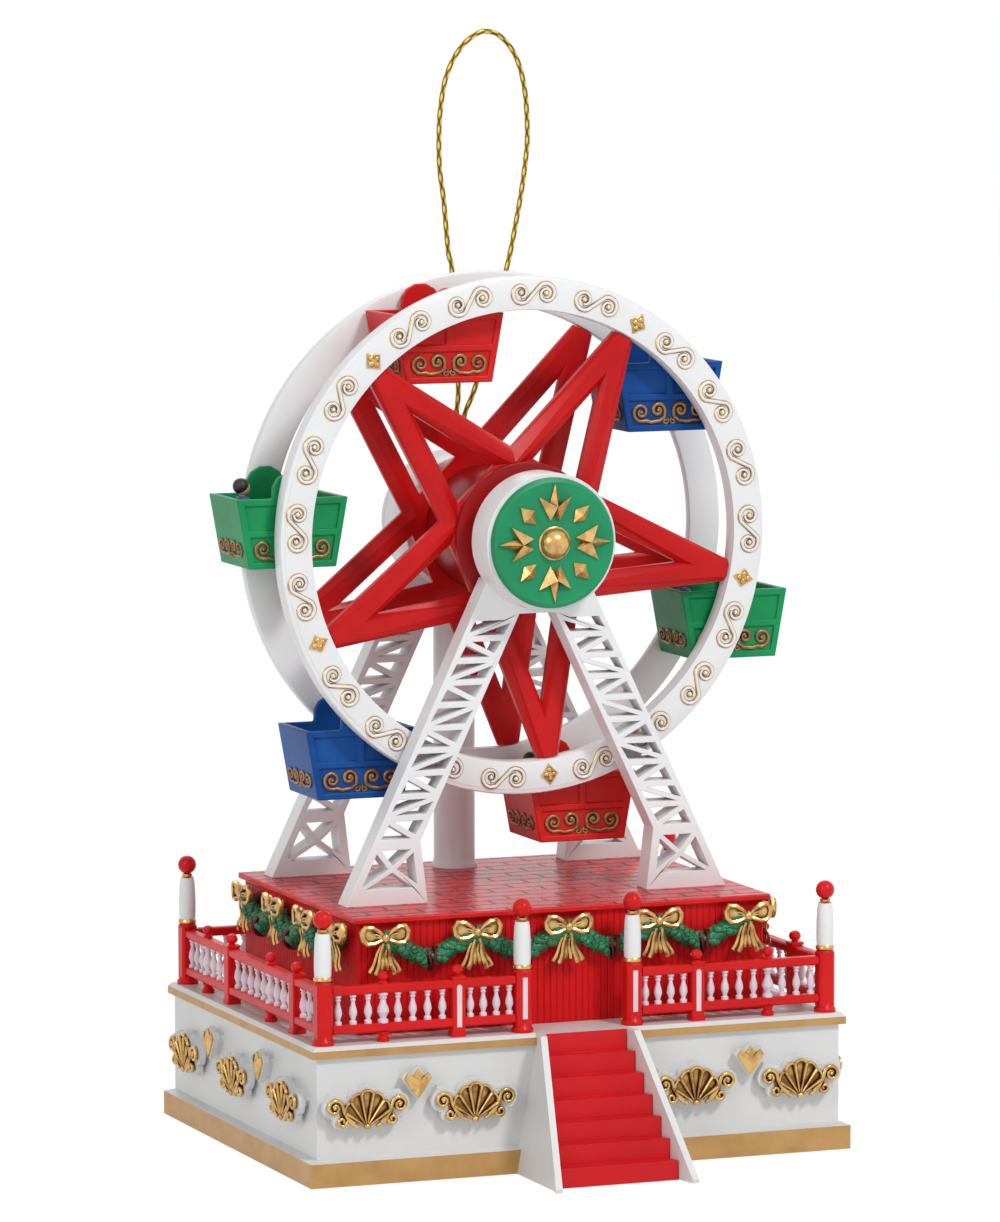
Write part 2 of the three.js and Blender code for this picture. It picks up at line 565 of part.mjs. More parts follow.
// The cap in front of the wheel's bearing, with its boss, its four crowns and its four kites.
const capBack = headFront - head.capSeat;
const capFront = capBack - head.capThick;
const crownSpan = head.crownTip - head.crownRoot;
const crownShares = [
  [0, 0.16], [0.3, 0], [0.52, 0.2], [1, 0.64], [0.3, 0.46], [0, 1], [-0.3, 0.46], [-1, 0.64],
  [-0.52, 0.2], [-0.3, 0],
];
const kiteShares = [[0, 0], [1, 0.45], [0, 1], [-1, 0.45]];
const rising = (shares, halfWidth, root, span) => plateY(
  outline(shares.map(([u, v]) => [u * halfWidth, root + v * span])),
  capFront - head.relief, capFront + head.capThick / 2);
const crown = rising(crownShares, head.crownHalf, head.crownRoot, crownSpan);
const kite = rising(kiteShares, head.kiteHalf, head.kiteRoot, head.kiteTip - head.kiteRoot);
const quarters = [0, 1, 2, 3].map((i) => i * quarter);
const capDisc = turnedY([
  [0, capBack], [head.capRadius, capBack], [head.capRadius, capFront + head.relief],
  [head.capRadius - head.relief, capFront], [0, capFront],
], 0, 0, 32);
const boss = solid(new THREE.SphereGeometry(head.bossRadius, 16, 8).translate(0, capFront, 0))
  .intersect(block([-head.capRadius, head.capRadius],
    [capFront - head.bossRadius, capBack], [-head.capRadius, head.capRadius]));
const cap = joined([
  capDisc, boss, ...quarters.map((turn) => crown.rotate([0, turn, 0])),
  ...quarters.map((turn) => kite.rotate([0, turn + quarter / 2, 0])),
]).translate([0, 0, axisZ]);
add("front_cap", cap, finish.green);

// The rear head is a drum that holds the gear; a cover closes it from behind.
const drumFront = depthAt(layout.headRear);
const coverFront = drumFront + head.rearDepth;
const drumInner = head.rearRadius - head.rearWall;
const rearDrum = rodY(head.rearRadius, drumFront, coverFront, 0, axisZ, 32);
const rearHollow = rodY(drumInner, drumFront + head.rearWall, coverFront + overrun,
  0, axisZ, 32);
const lugY = rearTowerY;
const lugZ = axisZ + head.rearRadius + cord.lugRise;
const lugTop = lugZ + cord.lug;
const lug = rodY(cord.lug, lugY - cord.lug / 2, lugY + cord.lug / 2, 0, lugZ, 12)
  .subtract(rodY(cord.lugHole, lugY - cord.lug, lugY + cord.lug, 0, lugZ, 8));
const rearTower = aFrame(rearTowerY).add(rearDrum).add(lug).subtract(rearHollow)
  .subtract(rodY(axleSocket, drumFront - overrun, drumFront + head.rearWall + overrun,
    0, axisZ, 16))
  .subtract(rod(inside.shaftHole, forkZ - overrun, axisZ - drumInner + overrun,
    0, columnY, 16));
add("rear_tower", rearTower, finish.white);
add("rear_cover", rodY(head.rearRadius, coverFront, coverFront + head.rearWall,
  0, axisZ, 32), finish.white);

const columnTop = forkZ - column.headGap;
add("drive_column", turned([
  [column.bore, level.deck], [column.baseRadius, level.deck],
  [column.baseRadius, level.deck + column.baseHeight / 2],
  [column.radius, level.deck + column.baseHeight], [column.radius, columnTop],
  [column.bore, columnTop], [column.bore, level.deck],
], 0, columnY, 16), finish.white);

// Wheel.
const hubBore = wheel.axleRadius + wheel.fit;
const frontRimY = depthAt(layout.rimFront);
const frontRimBack = frontRimY + wheel.frontThick;
const rearRimY = depthAt(layout.rimRear);
const rearRimBack = rearRimY + wheel.rearThick;
const gondolaTurns = [0, 1, 2, 3, 4, 5].map((i) => gondola.firstTurn - (i * 360) / 6);
const pivots = gondolaTurns.map((turn) => polar(pivotRadius, turn, [0, axisZ]));
const pinHole = gondola.pinRadius + gondola.pinGap;
const gondolaY = depthAt(layout.gondola);
const gondolaBack = gondolaY + gondola.depth;

/** One rim: a flat ring, bevelled on its outer edge at one face, with blind holes for pins. */
function rim(y0, y1, bevelAt, holeFrom, holeTo) {
  const edge = bevelAt === y0
    ? [[wheel.outer - wheel.bevel, y0], [wheel.outer, y0 + wheel.bevel], [wheel.outer, y1]]
    : [[wheel.outer, y0], [wheel.outer, y1 - wheel.bevel], [wheel.outer - wheel.bevel, y1]];
  const ring = turnedY([
    [innerRadius, y0], ...edge, [innerRadius, y1], [innerRadius, y0],
  ], 0, axisZ, wheel.facets);
  return pivots.reduce((left, [x, z]) =>
    left.subtract(rodY(pinHole, holeFrom, holeTo, x, z, 8)), ring);
}

const pinFront = frontRimBack - gondola.pinReach;
const pinBack = rearRimY + gondola.pinReach;
add("front_rim", rim(frontRimY, frontRimBack, frontRimY, pinFront - gondola.pinGap,
  frontRimBack + overrun), finish.white);
add("rear_rim", rim(rearRimY, rearRimBack, rearRimBack, rearRimY - overrun,
  pinBack + gondola.pinGap), finish.white);

/** A five-pointed star of bevelled struts, with a triangular opening in each arm. */
function star(y0, thick, bevel) {
  const tip = wheel.outer + wheel.starTip;
  const step = 360 / wheel.points;
  const waistAngle = THREE.MathUtils.degToRad(step / 2);
  const base = wheel.concave * Math.cos(waistAngle);
  const waist = wheel.concave * Math.sin(waistAngle);
  const lean = Math.atan2(waist, tip - base);
  const apex = tip - wheel.strut / Math.sin(lean);
  const openHalf = waist - wheel.strut / Math.cos(lean);
  const slope = wheel.strut / 2 - wheel.ridgeFlat;
  const edge = [];
  const holes = [];
  for (let i = 0; i < wheel.points; i += 1) {
    const turn = wheel.starTurn + i * step;
    edge.push(polar(tip, turn), polar(wheel.concave, turn + step / 2));
    const side = THREE.MathUtils.radToDeg(Math.atan2(openHalf, base));
    const reach = Math.hypot(openHalf, base);
    holes.push([polar(apex, turn), polar(reach, turn + side), polar(reach, turn - side)]);
  }
  const plate = plateY(outline(edge, holes), y0 + bevel, y0 + thick - bevel, {
    bevelEnabled: true, bevelSegments: 1, bevelThickness: bevel, bevelSize: slope,
    bevelOffset: -slope,
  });
  const clip = rodY(innerRadius - wheel.tipGap, y0 - overrun, y0 + thick + overrun, 0, 0,
    wheel.facets);
  return plate.intersect(clip).translate([0, 0, axisZ])
    .subtract(rodY(hubBore, y0 - overrun, y0 + thick + overrun, 0, axisZ, 16));
}

const frontStarY = frontRimBack - wheel.starThick;
const rearStarBack = rearRimY + wheel.rearStarThick;
add("front_star", star(frontStarY, wheel.starThick, wheel.ridge), finish.red);
add("rear_star", star(rearRimY, wheel.rearStarThick, wheel.starBack), finish.red);
const hubTube = (radius, y0, y1, segments) =>
  tubeY(radius, hubBore, y0, y1, 0, axisZ, segments);
add("hub_flange", hubTube(wheel.flangeRadius, frontStarY - wheel.flangeThick, frontStarY, 32),
  finish.red);
add("hub_drum", hubTube(wheel.drumRadius, frontRimBack, rearRimY, 28), finish.red);
add("hub_collar", hubTube(wheel.collarRadius, rearStarBack, rearStarBack + wheel.collarLength, 28),
  finish.red);
const axleFront = frontTowerY + tower.thickness - head.socket + clearance;
const gearBack = columnY - drive.pinionRadius + drive.mesh - drive.tooth;
add("wheel_axle", rodY(wheel.axleRadius, axleFront, gearBack + drive.tooth, 0, axisZ, 16),
  finish.steel);

/** The outline of a gear with straight-sided teeth, one of them at the start angle. */
function gearOutline(root, tip, tipShare, count, start) {
  const gap = (180 / count) * drive.toothShare;
  return Array.from({ length: count }, (_, i) => {
    const turn = start + (i * 360) / count;
    return [
      polar(root, turn - gap), polar(tip, turn - gap * tipShare),
      polar(tip, turn + gap * tipShare), polar(root, turn + gap),
    ];
  }).flat();
}

const gearInner = drive.gearRadius - drive.gearWidth;
const gearRing = gearOutline(gearInner, drive.gearRadius, 1, drive.toothCount, quarter);
add("axle_gear", plateY(outline(gearRing), gearBack - drive.gearPlate, gearBack + drive.tooth)
  .subtract(rodY(hubBore, gearBack - drive.gearPlate - overrun, gearBack + drive.tooth + overrun,
    0, 0, 16))
  .translate([0, 0, axisZ]), finish.brass);

// Drive shaft in the column.
// A small spur gear with a gap between two teeth where it meets the axle's gear.
const pinionEdge = gearOutline(drive.pinionRadius - drive.pinionTooth, drive.pinionRadius,
  drive.tipShare, drive.pinionCount, 180 / drive.pinionCount - quarter);
const pinion = (z0, z1) => plateZ(outline(pinionEdge), z0, z1).translate([0, columnY, 0]);

const meshZ = axisZ - drive.gearRadius + drive.gearWidth / 2;
const shaftTop = meshZ + drive.pinionLength / 2;
const driveShaft = rod(inside.shaftRadius, level.caseTop + clearance, shaftTop, 0, columnY, 12)
  .add(pinion(meshZ - drive.pinionLength / 2, shaftTop));
add("drive_shaft", driveShaft, finish.steel);

// Gondolas, each hanging from two pins between the rims.
const rimHalf = gondola.topWidth / 2;
const floorHalf = gondola.bottomWidth / 2;
const tubTop = -gondola.rimDrop;
const tubFloor = tubTop - gondola.height;
const tubHalf = (z) => along([rimHalf, tubTop], [floorHalf, tubFloor], z);

/** A four-sided outline that follows the leaning ends of the tub. */
const tubSlice = (gap, z0, z1) => outline([
  [gap - tubHalf(z0), z0], [tubHalf(z0) - gap, z0], [tubHalf(z1) - gap, z1], [gap - tubHalf(z1), z1],
]);

/** One panel recess on the right or the left half of a long wall. */
const halfPanel = (side, z0, z1) => {
  const stile = (side * gondola.frame) / 2;
  const edge = (z) => side * (tubHalf(z) - gondola.frame);
  const points = [[stile, z0], [edge(z0), z0], [edge(z1), z1], [stile, z1]];
  return outline(side > 0 ? points : points.reverse());
};

/** The tub: leaning ends, panelled long walls with a lobed ear, a bench at each end, two pins. */
function gondolaSolid() {
  const { wall, depth, frame, earRadius, panelDepth } = gondola;
  const back = depth - wall;
  const earCentre = gondola.earRise - earRadius;
  const earStart = Math.asin((tubTop - earCentre) / earRadius);
  const earFoot = earRadius * Math.cos(earStart);
  const arc = Array.from({ length: 8 }, (_, i) => {
    const turn = earStart + ((Math.PI - 2 * earStart) * i) / 7;
    return [earRadius * Math.cos(turn), earCentre + earRadius * Math.sin(turn)];
  });
  const ear = outline([
    [-earFoot - gondola.earFillet, tubTop - overrun], [earFoot + gondola.earFillet, tubTop - overrun],
    [earFoot + gondola.earFillet, tubTop], ...arc, [-earFoot - gondola.earFillet, tubTop],
  ]);
  const hollowTub = plateY(tubSlice(wall, tubFloor + gondola.floor, tubTop + overrun), wall, back);
  const benchTop = tubFloor + gondola.floor + gondola.benchHeight;
  const bench = sides.map((side) => {
    const outer = side * (tubHalf(benchTop) - wall / 2);
    const inner = side * (tubHalf(benchTop) - wall - gondola.benchWidth);
    return block([Math.min(outer, inner), Math.max(outer, inner)], [wall / 2, back + wall / 2],
      [benchTop - wall, benchTop]);
  });
  const middle = tubFloor + gondola.height * gondola.middleShare;
  const recesses = [[-overrun, panelDepth], [depth - panelDepth, depth + overrun]].flatMap(([a, b]) => [
    ...sides.map((side) => plateY(halfPanel(side, middle + frame / 2, tubTop - frame), a, b)),
    plateY(tubSlice(frame, tubFloor + frame, middle - frame / 2), a, b),
  ]);
  const pins = [
    rodY(gondola.pinRadius, pinFront - gondolaY, wall, 0, 0, 8),
    rodY(gondola.pinRadius, back, pinBack - gondolaY, 0, 0, 8),
  ];
  const tub = plateY(tubSlice(0, tubFloor, tubTop), 0, depth).subtract(hollowTub);
  return joined([tub, ...bench, plateY(ear, 0, wall), plateY(ear, back, depth), ...pins])
    .subtract(joined(recesses));
}

/** A small doll sitting on a bench, leaning on nothing, legs toward the middle. */
function riderSolid(toMiddle) {
  const { torso, neck, headRadius, legLength, legWidth, legGap } = rider;
  const middle = rider.fromMiddle * -toMiddle;
  const y = gondola.depth / 2;
  const body = turned([
    [0, 0], [rider.hipRadius, 0], [rider.waistRadius, torso / 2], [rider.shoulderRadius, torso],
    [rider.neckRadius, torso + neck / 2], [rider.neckRadius, torso + neck + legGap],
    [0, torso + neck + legGap],
  ], middle, y, 8);
  const face = solid(new THREE.SphereGeometry(headRadius, 8, 6)
    .translate(middle, y, torso + neck + headRadius));
  const knee = middle + toMiddle * legLength;
  const legs = sides.map((side) => block([Math.min(middle, knee), Math.max(middle, knee)],
    [y + (side * legGap) / 2 + (side < 0 ? -legWidth : 0), y + (side * legGap) / 2
      + (side < 0 ? 0 : legWidth)], [0, legWidth]));
  const seat = tubFloor + gondola.floor + gondola.benchHeight + clearance;
  return joined([body, face, ...legs]).translate([0, 0, seat]);
}

const gondolaPaints = [finish.red, finish.blue, finish.green];
const oneGondola = gondolaSolid();
const oneRider = riderSolid(1);
const ridden = [2, 3, 5]; // the gondolas that carry a doll
pivots.forEach(([x, z], i) => {
  const hung = new THREE.Group();
  hung.position.set(x, gondolaY, z);
  add(`gondola_${i + 1}`, oneGondola, gondolaPaints[i % gondolaPaints.length], hung);
  if (ridden.includes(i)) add(`rider_${i + 1}`, oneRider, finish.skin, hung);
  model.add(hung);
});

// Wind-up movement and its key, under the deck house.
const caseOutline = [
  [-inside.caseHalf, plinthFront + inside.caseFront],
  [inside.caseHalf, plinthFront + inside.caseFront],
  [inside.caseHalf, plinthBack - inside.caseBack],
  [-inside.caseHalf, plinthBack - inside.caseBack],
];
add("movement_case", plateZ(outline(caseOutline), plateHigh, level.caseTop), finish.steel);
const keyTop = plateHigh - clearance;
const keyMiddle = (inside.keyLow + inside.keyHigh) / 2;
const loopHalf = (inside.keyHigh - inside.keyLow) / 2;
const keyBridge = inside.keyWing - 2 * loopHalf + overrun;
const wing = (side) => {
  const centre = side * (inside.keyWing - loopHalf);
  const ring = (r) => Array.from({ length: 12 }, (_, i) => polar(r, (i * 360) / 12, [centre, keyMiddle]));
  return plateY(outline(ring(loopHalf), [ring(loopHalf / 2)]), -inside.keyHead / 2, inside.keyHead / 2);
};
const key = joined([
  rod(inside.keyStem, keyMiddle - inside.keyHead, keyTop, 0, 0, 12), wing(-1), wing(1),
  block([-keyBridge, keyBridge], [-inside.keyHead / 2, inside.keyHead / 2],
    [keyMiddle - inside.keyHead / 2, keyMiddle + inside.keyHead / 2]),
]).translate([0, keyY, 0]);
add("winding_key", key, finish.brass);

// Garlands and bows along the deck house.
const bowShares = [
  [0.05, 0.09], [0.3, 0.2], [0.5, 0.12], [0.42, -0.08], [0.18, -0.07],
  [0.38, -0.76], [0.24, -0.76], [0.03, -0.2],
];
const bowHalf = bowShares.map(([u, v]) => [u * bow.width, v * bow.height]);
const bowEdge = outline([...bowHalf, ...bowHalf.map(([u, v]) => [-u, v]).reverse()].reverse());
const oneBow = plateY(bowEdge, -bow.proud, -bow.proud + bow.thick);

/** A tube along a path of [x, y, z] points, with flat ends. */
function tubeAlong(points, radius, faces, steps) {
  const path = new THREE.CatmullRomCurve3(points.map((p) => new THREE.Vector3(...p)));
  const ring = outline(Array.from({ length: faces }, (_, i) => polar(radius, (i * 360) / faces)));
  return solid(new THREE.ExtrudeGeometry(ring, { steps, bevelEnabled: false, extrudePath: path }));
}

/** A row of bows with a green swag between each two, hung on a wall that faces -Y at y = 0. */
function swagRow(count, pitch) {
  const y = -garland.radius - bow.seat;
  const at = (i) => (i - (count - 1) / 2) * pitch;
  const bows = Array.from({ length: count }, (_, i) => oneBow.translate([at(i), 0, 0]));
  const swags = Array.from({ length: count - 1 }, (_, i) => tubeAlong(
    garland.shares.map((share) => [
      at(i + share), y, -garland.sag * (1 - (2 * share - 1) ** 2)]),
    garland.radius, garland.sides, garland.steps));
  return joined([...bows, ...swags]);
}

const bowZ = level.deck - bow.drop;
const houseMiddle = (houseFront + houseBack) / 2;
const rowPitch = (span, end, count) => (span - 2 * end) / (count - 1);
const frontRow = swagRow(bow.frontCount, rowPitch(2 * houseHalf, bow.frontEnd, bow.frontCount));
const sideRow = swagRow(bow.sideCount,
  rowPitch(houseBack - houseFront, bow.sideEnd, bow.sideCount));
add("garland_front", frontRow.translate([0, houseFront, bowZ]), finish.gold);
sides.forEach((side) => add(side < 0 ? "garland_left" : "garland_right",
  sideRow.rotate([0, 0, side * quarter])
    .translate([side * houseHalf, houseMiddle, bowZ]), finish.gold));

// Hanging cord: a knot over the lug and one long loop.
const cordY = rearTowerY;
const knotZ = lugTop + clearance + cord.knotRadius;
add("cord_knot", solid(new THREE.SphereGeometry(cord.knotRadius, 10, 7)
  .translate(0, cordY, knotZ)), finish.cord);
// The route of the loop, as [x, z] in the plane of the knot, from the knot up and back.
const cordRoute = [
  [-0.35, 112.9], [-0.2, 116], [0.1, 120], [-0.5, 130], [-1, 139.4], [-1.6, 142.2], [-2.4, 150.7],
  [-3, 154.9], [-3.2, 159.2], [-3, 164.6], [-2.1, 170], [-0.5, 173.7], [1.6, 176.3], [4, 177.8],
  [5.5, 177.9], [7.3, 177.3], [9.5, 175.1], [11, 172], [11.9, 168], [12.2, 164.6], [12.3, 160.6],
  [12, 156.9], [11.3, 152.1], [10.4, 147.3], [9, 140.7], [6.1, 130], [3.1, 120], [1.4, 116],
  [0.6, 112.9],
];
const cordPoints = cordRoute.map(([x, z]) => [x, cordY, z]);
add("hanging_cord", tubeAlong(cordPoints, cord.radius, cord.sides, cord.steps), finish.cord);
export default model;
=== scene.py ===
"""The finished look of a musical ferris wheel ornament.

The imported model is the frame. This file gives its pieces their paint, rebuilds the turned
posts, the carved ornament, the gondolas, the dolls and the braided cord in full detail, and
sets the studio. Lengths are written in millimetres and turned into metres when a mesh is made.
"""

import logging
import math
from dataclasses import dataclass
from enum import Enum
from typing import Any, Callable, Optional, Sequence

import bmesh
import bpy
from mathutils import Matrix, Quaternion, Vector

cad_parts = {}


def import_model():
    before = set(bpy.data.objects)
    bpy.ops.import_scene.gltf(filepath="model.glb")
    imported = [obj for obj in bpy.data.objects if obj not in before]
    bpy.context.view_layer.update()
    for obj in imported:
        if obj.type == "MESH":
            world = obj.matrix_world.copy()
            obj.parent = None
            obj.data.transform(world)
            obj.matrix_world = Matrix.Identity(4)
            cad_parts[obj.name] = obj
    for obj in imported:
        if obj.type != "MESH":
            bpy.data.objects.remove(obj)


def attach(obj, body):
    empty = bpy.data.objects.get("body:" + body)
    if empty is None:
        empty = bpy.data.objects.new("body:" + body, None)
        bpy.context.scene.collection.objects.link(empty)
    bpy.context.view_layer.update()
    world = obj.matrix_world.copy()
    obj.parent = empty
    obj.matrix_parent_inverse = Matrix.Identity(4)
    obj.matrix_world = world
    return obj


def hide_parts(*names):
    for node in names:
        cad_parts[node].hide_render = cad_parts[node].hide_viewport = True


log = logging.getLogger("ferris_wheel")
MM = 0.001
SIDES = (-1, 1)
AXIS_Z = 98.1
TO_BACK = Matrix.Rotation(-math.pi / 2, 4, "X")  # local Z runs along +Y
Point = Sequence[float]
Triple = tuple[float, float, float]
Shape = bmesh.types.BMesh
HERE = Matrix().freeze()


def add_node(
    tree: bpy.types.NodeTree, kind: str, inputs: Optional[dict[Any, Any]] = None, **settings: Any
) -> bpy.types.Node:
    """Adds a node.

    Args:
        tree: The node tree that it joins.
        kind: The node's type.
        inputs: What each input is linked to, or the value that it has.
        **settings: The node's own settings.

    Returns:
        The new node.
    """
    node = tree.nodes.new(kind)
    for name, value in settings.items():
        setattr(node, name, value)
    for key, value in (inputs or {}).items():
        if isinstance(value, bpy.types.NodeSocket):
            tree.links.new(value, node.inputs[key])
        else:
            node.inputs[key].default_value = value
    return node


class Pattern(Enum):
    """What a paint lies over."""

    PLAIN = "plain"
    BOARDS = "boards"
    SHINGLES = "shingles"
    # Gold with painted shade in its crevices and painted reflections in broad dark patches.
    SHADE_AND_SHEEN = "shade_and_sheen"
    BRAID = "braid"
    LEAFY = "leafy"


@dataclass(frozen=True)
class Finish:
    """A paint, with the small unevenness that a hand-painted casting has; some patterns add painted
    shade in hollows and painted reflections.
    """

    name: str
    color: Triple
    second: Triple
    roughness: float = 0.35
    metallic: float = 0.0
    specular: float = 0.5
    grain: float = 900.0
    bump: float = 0.04
    pattern: Pattern = Pattern.PLAIN

    def material(self) -> bpy.types.Material:
        """Returns the material, made once.

        Returns:
            The material that carries the paint.
        """
        found = bpy.data.materials.get(self.name)
        if found:
            return found
        material = bpy.data.materials.new(self.name)
        material.use_nodes = True
        tree = material.node_tree
        shade_and_sheen = self.pattern is Pattern.SHADE_AND_SHEEN
        place = add_node(tree, "ShaderNodeTexCoord").outputs["Object"]
        noise = add_node(tree, "ShaderNodeTexNoise", {
            "Vector": place, "Scale": self.grain, "Detail": 4.0}).outputs["Fac"]
        # On gold the finer, stronger broad patches are painted reflections.
        broad = add_node(tree, "ShaderNodeTexNoise", {
            "Vector": place, "Scale": self.grain / (2 if shade_and_sheen else 9), "Detail": 2.0})
        share = add_node(tree, "ShaderNodeMapRange", {
            "Value": broad.outputs["Fac"], "From Min": 0.42 if shade_and_sheen else 0.35,
            "From Max": 0.64 if shade_and_sheen else 0.7}).outputs["Result"]
        gloss = add_node(tree, "ShaderNodeMapRange", {
            "Value": noise, "To Min": max(self.roughness - 0.07, 0.05),
            "To Max": self.roughness + 0.09})
        height, strength, depth = noise, self.bump, 0.0004
        if self.pattern is Pattern.BOARDS:
            height, strength, depth = self._boards(tree, place), 0.6, 0.0003
        elif self.pattern is Pattern.SHINGLES:
            share, height = self._shingles(tree, place)
            strength, depth = 0.9, 0.0005
        elif self.pattern is Pattern.LEAFY:
            # Painted shade between the leafy lumps.
            share, strength = self._crevice_shade(tree, share, 0.8), 1.0
        # Gold also takes painted shade in its crevices.
        elif shade_and_sheen:
            share = self._crevice_shade(tree, share, 0.9)
        elif self.pattern is Pattern.BRAID:
            share, height = self._braid(tree)
            strength, depth = 1.0, 0.0002
        blend = add_node(tree, "ShaderNodeMix", data_type="RGBA", inputs={
            "Factor": share, "A": (*self.color, 1), "B": (*self.second, 1)})
        relief = add_node(tree, "ShaderNodeBump", {
            "Height": height, "Strength": strength, "Distance": depth})
        shader = tree.nodes["Principled BSDF"]
        for name, value in (("Metallic", self.metallic), ("Specular IOR Level", self.specular)):
            shader.inputs[name].default_value = value
        for name, node, output in (("Base Color", blend, "Result"),
                                   ("Roughness", gloss, "Result"), ("Normal", relief, "Normal")):
            tree.links.new(node.outputs[output], shader.inputs[name])
        return material

    @staticmethod
    def _boards(tree: bpy.types.NodeTree, place: bpy.types.NodeSocket) -> bpy.types.NodeSocket:
        """Returns the height of narrow upright boards round the house.

        Args:
            tree: The material's nodes.
            place: The point on the surface.

        Returns:
            The height.
        """
        split = add_node(tree, "ShaderNodeSeparateXYZ", {"Vector": place})
        total = add_node(tree, "ShaderNodeMath", {0: split.outputs["X"], 1: split.outputs["Y"]})
        board = add_node(tree, "ShaderNodeMath", {0: total.outputs["Value"], 1: 0.55 * MM},
                         operation="PINGPONG")
        return add_node(tree, "ShaderNodeMapRange", {
            "Value": board.outputs["Value"], "From Max": 0.18 * MM}).outputs["Result"]

    @staticmethod
    def _crevice_shade(
        tree: bpy.types.NodeTree, share: bpy.types.NodeSocket, reach: float
    ) -> bpy.types.NodeSocket:
        """Returns how much of the second colour shows, with painted shade added where the relief is
        deep.

        Args:
            tree: The material's nodes.
            share: The broad unevenness of the paint.
            reach: How far apart the walls of a crevice are, in millimetres.

        Returns:
            The share of the second colour, with the painted shade.
        """
        # Ambient occlusion mixes the dark second colour into the hollows: painted shade.
        sky = add_node(tree, "ShaderNodeAmbientOcclusion", {"Distance": reach * MM},
                       only_local=True)
        deep = add_node(tree, "ShaderNodeMapRange", {
            "Value": sky.outputs["AO"], "From Min": 0.97, "From Max": 0.5})
        return add_node(tree, "ShaderNodeMath", {0: share, 1: 0.42, 2: deep.outputs["Result"]},
                        operation="MULTIPLY_ADD", use_clamp=True).outputs["Value"]

    @staticmethod
    def _shingles(
        tree: bpy.types.NodeTree, place: bpy.types.NodeSocket
    ) -> tuple[bpy.types.NodeSocket, bpy.types.NodeSocket]:
        """Returns the dark joints and the height of rows of worn shingles.

        Args:
            tree: The material's nodes.
            place: The point on the surface.

        Returns:
            The share of the joints, and the height.
        """
        stir = add_node(tree, "ShaderNodeTexNoise", {"Vector": place, "Scale": 130.0})
        amount = add_node(tree, "ShaderNodeVectorMath", {
            0: stir.outputs["Color"], "Scale": 1.0 * MM}, operation="SCALE")
        moved = add_node(tree, "ShaderNodeVectorMath", {0: place, 1: amount.outputs["Vector"]})
        brick = add_node(tree, "ShaderNodeTexBrick", {
            "Vector": moved.outputs["Vector"], "Scale": 1.0, "Mortar Size": 0.42 * MM,
            "Mortar Smooth": 0.7, "Brick Width": 9.0 * MM, "Row Height": 3.9 * MM,
            "Color1": (1, 1, 1, 1), "Color2": (0.7, 0.7, 0.7, 1), "Mortar": (0, 0, 0, 1)})
        return brick.outputs["Fac"], brick.outputs["Color"]

    @staticmethod
    def _braid(tree: bpy.types.NodeTree) -> tuple[bpy.types.NodeSocket, bpy.types.NodeSocket]:
        """Returns the painted shade in the gaps between the crossing strands, and the strands'
        height.

        Args:
            tree: The material's nodes.

        Returns:
            The share of the painted shade in the gaps, and the height.
        """
        along = add_node(tree, "ShaderNodeUVMap", uv_map="along")
        split = add_node(tree, "ShaderNodeSeparateXYZ", {"Vector": along.outputs["UV"]})
        waves = []
        for sign in SIDES:
            turn = add_node(tree, "ShaderNodeMath", {
                0: split.outputs["X"], 1: 3.0 * sign, 2: split.outputs["Y"]},
                operation="MULTIPLY_ADD")
            waves.append(add_node(tree, "ShaderNodeMath", {0: turn.outputs["Value"], 1: 0.5},
                                  operation="PINGPONG").outputs["Value"])
        top = add_node(tree, "ShaderNodeMath", {0: waves[0], 1: waves[1]},
                       operation="MULTIPLY").outputs["Value"]
        # Dark where the strands dip under each other: painted shade in the gaps.
        shade = add_node(tree, "ShaderNodeMapRange", {
            "Value": top, "From Max": 0.14, "To Min": 1.0, "To Max": 0.0})
        return shade.outputs["Result"], top


WHITE = Finish("white_gloss", (0.82, 0.83, 0.84), (0.79, 0.80, 0.81), 0.36, bump=0.05)
# A darker copy of the white plastic for the plinth and its backings: painted shade.
SHADED_FOOT_WHITE = Finish("shaded_foot_white", (0.71, 0.71, 0.71), (0.68, 0.68, 0.68), 0.38, bump=0.05)
BLUSH = Finish("blush_white", (0.78, 0.67, 0.73), (0.70, 0.58, 0.65), 0.4)
RED = Finish("red_gloss", (0.70, 0.010, 0.011), (0.60, 0.007, 0.008), 0.3, specular=0.2)
WHEEL_RED = Finish("wheel_red", (0.58, 0.008, 0.009), (0.50, 0.006, 0.007), 0.3, specular=0.2)
DRUM_RED = Finish("drum_red", (0.34, 0.006, 0.008), (0.28, 0.005, 0.006), 0.34, specular=0.2)
DECK_RED = Finish(
    "deck_red", (0.66, 0.008, 0.016), (0.24, 0.003, 0.006), 0.24, specular=0.17,
    pattern=Pattern.SHINGLES,
)
BOARD_RED = Finish(
    "board_red", (0.70, 0.009, 0.012), (0.60, 0.007, 0.010), 0.42, specular=0.12,
    pattern=Pattern.BOARDS,
)
STAIR_RED = Finish("stair_red", (0.66, 0.012, 0.018), (0.58, 0.010, 0.014), 0.34, specular=0.2)
TUB_RED = Finish("tub_red", (0.66, 0.014, 0.012), (0.52, 0.010, 0.009), 0.36, specular=0.2)
GREEN = Finish("cap_green", (0.014, 0.30, 0.125), (0.012, 0.25, 0.105), 0.36, specular=0.25)
TUB_GREEN = Finish("tub_green", (0.012, 0.30, 0.10), (0.008, 0.22, 0.075), 0.36, specular=0.15)
TUB_BLUE = Finish("tub_blue", (0.011, 0.085, 0.33), (0.006, 0.05, 0.22), 0.36, specular=0.12)
# The dark second colour is painted shade in the crevices and painted reflection in broad patches.
GOLD = Finish(
    "bright_gold", (0.72, 0.46, 0.17), (0.20, 0.09, 0.022), 0.24, 0.8, grain=1400, bump=0.08,
    pattern=Pattern.SHADE_AND_SHEEN,
)
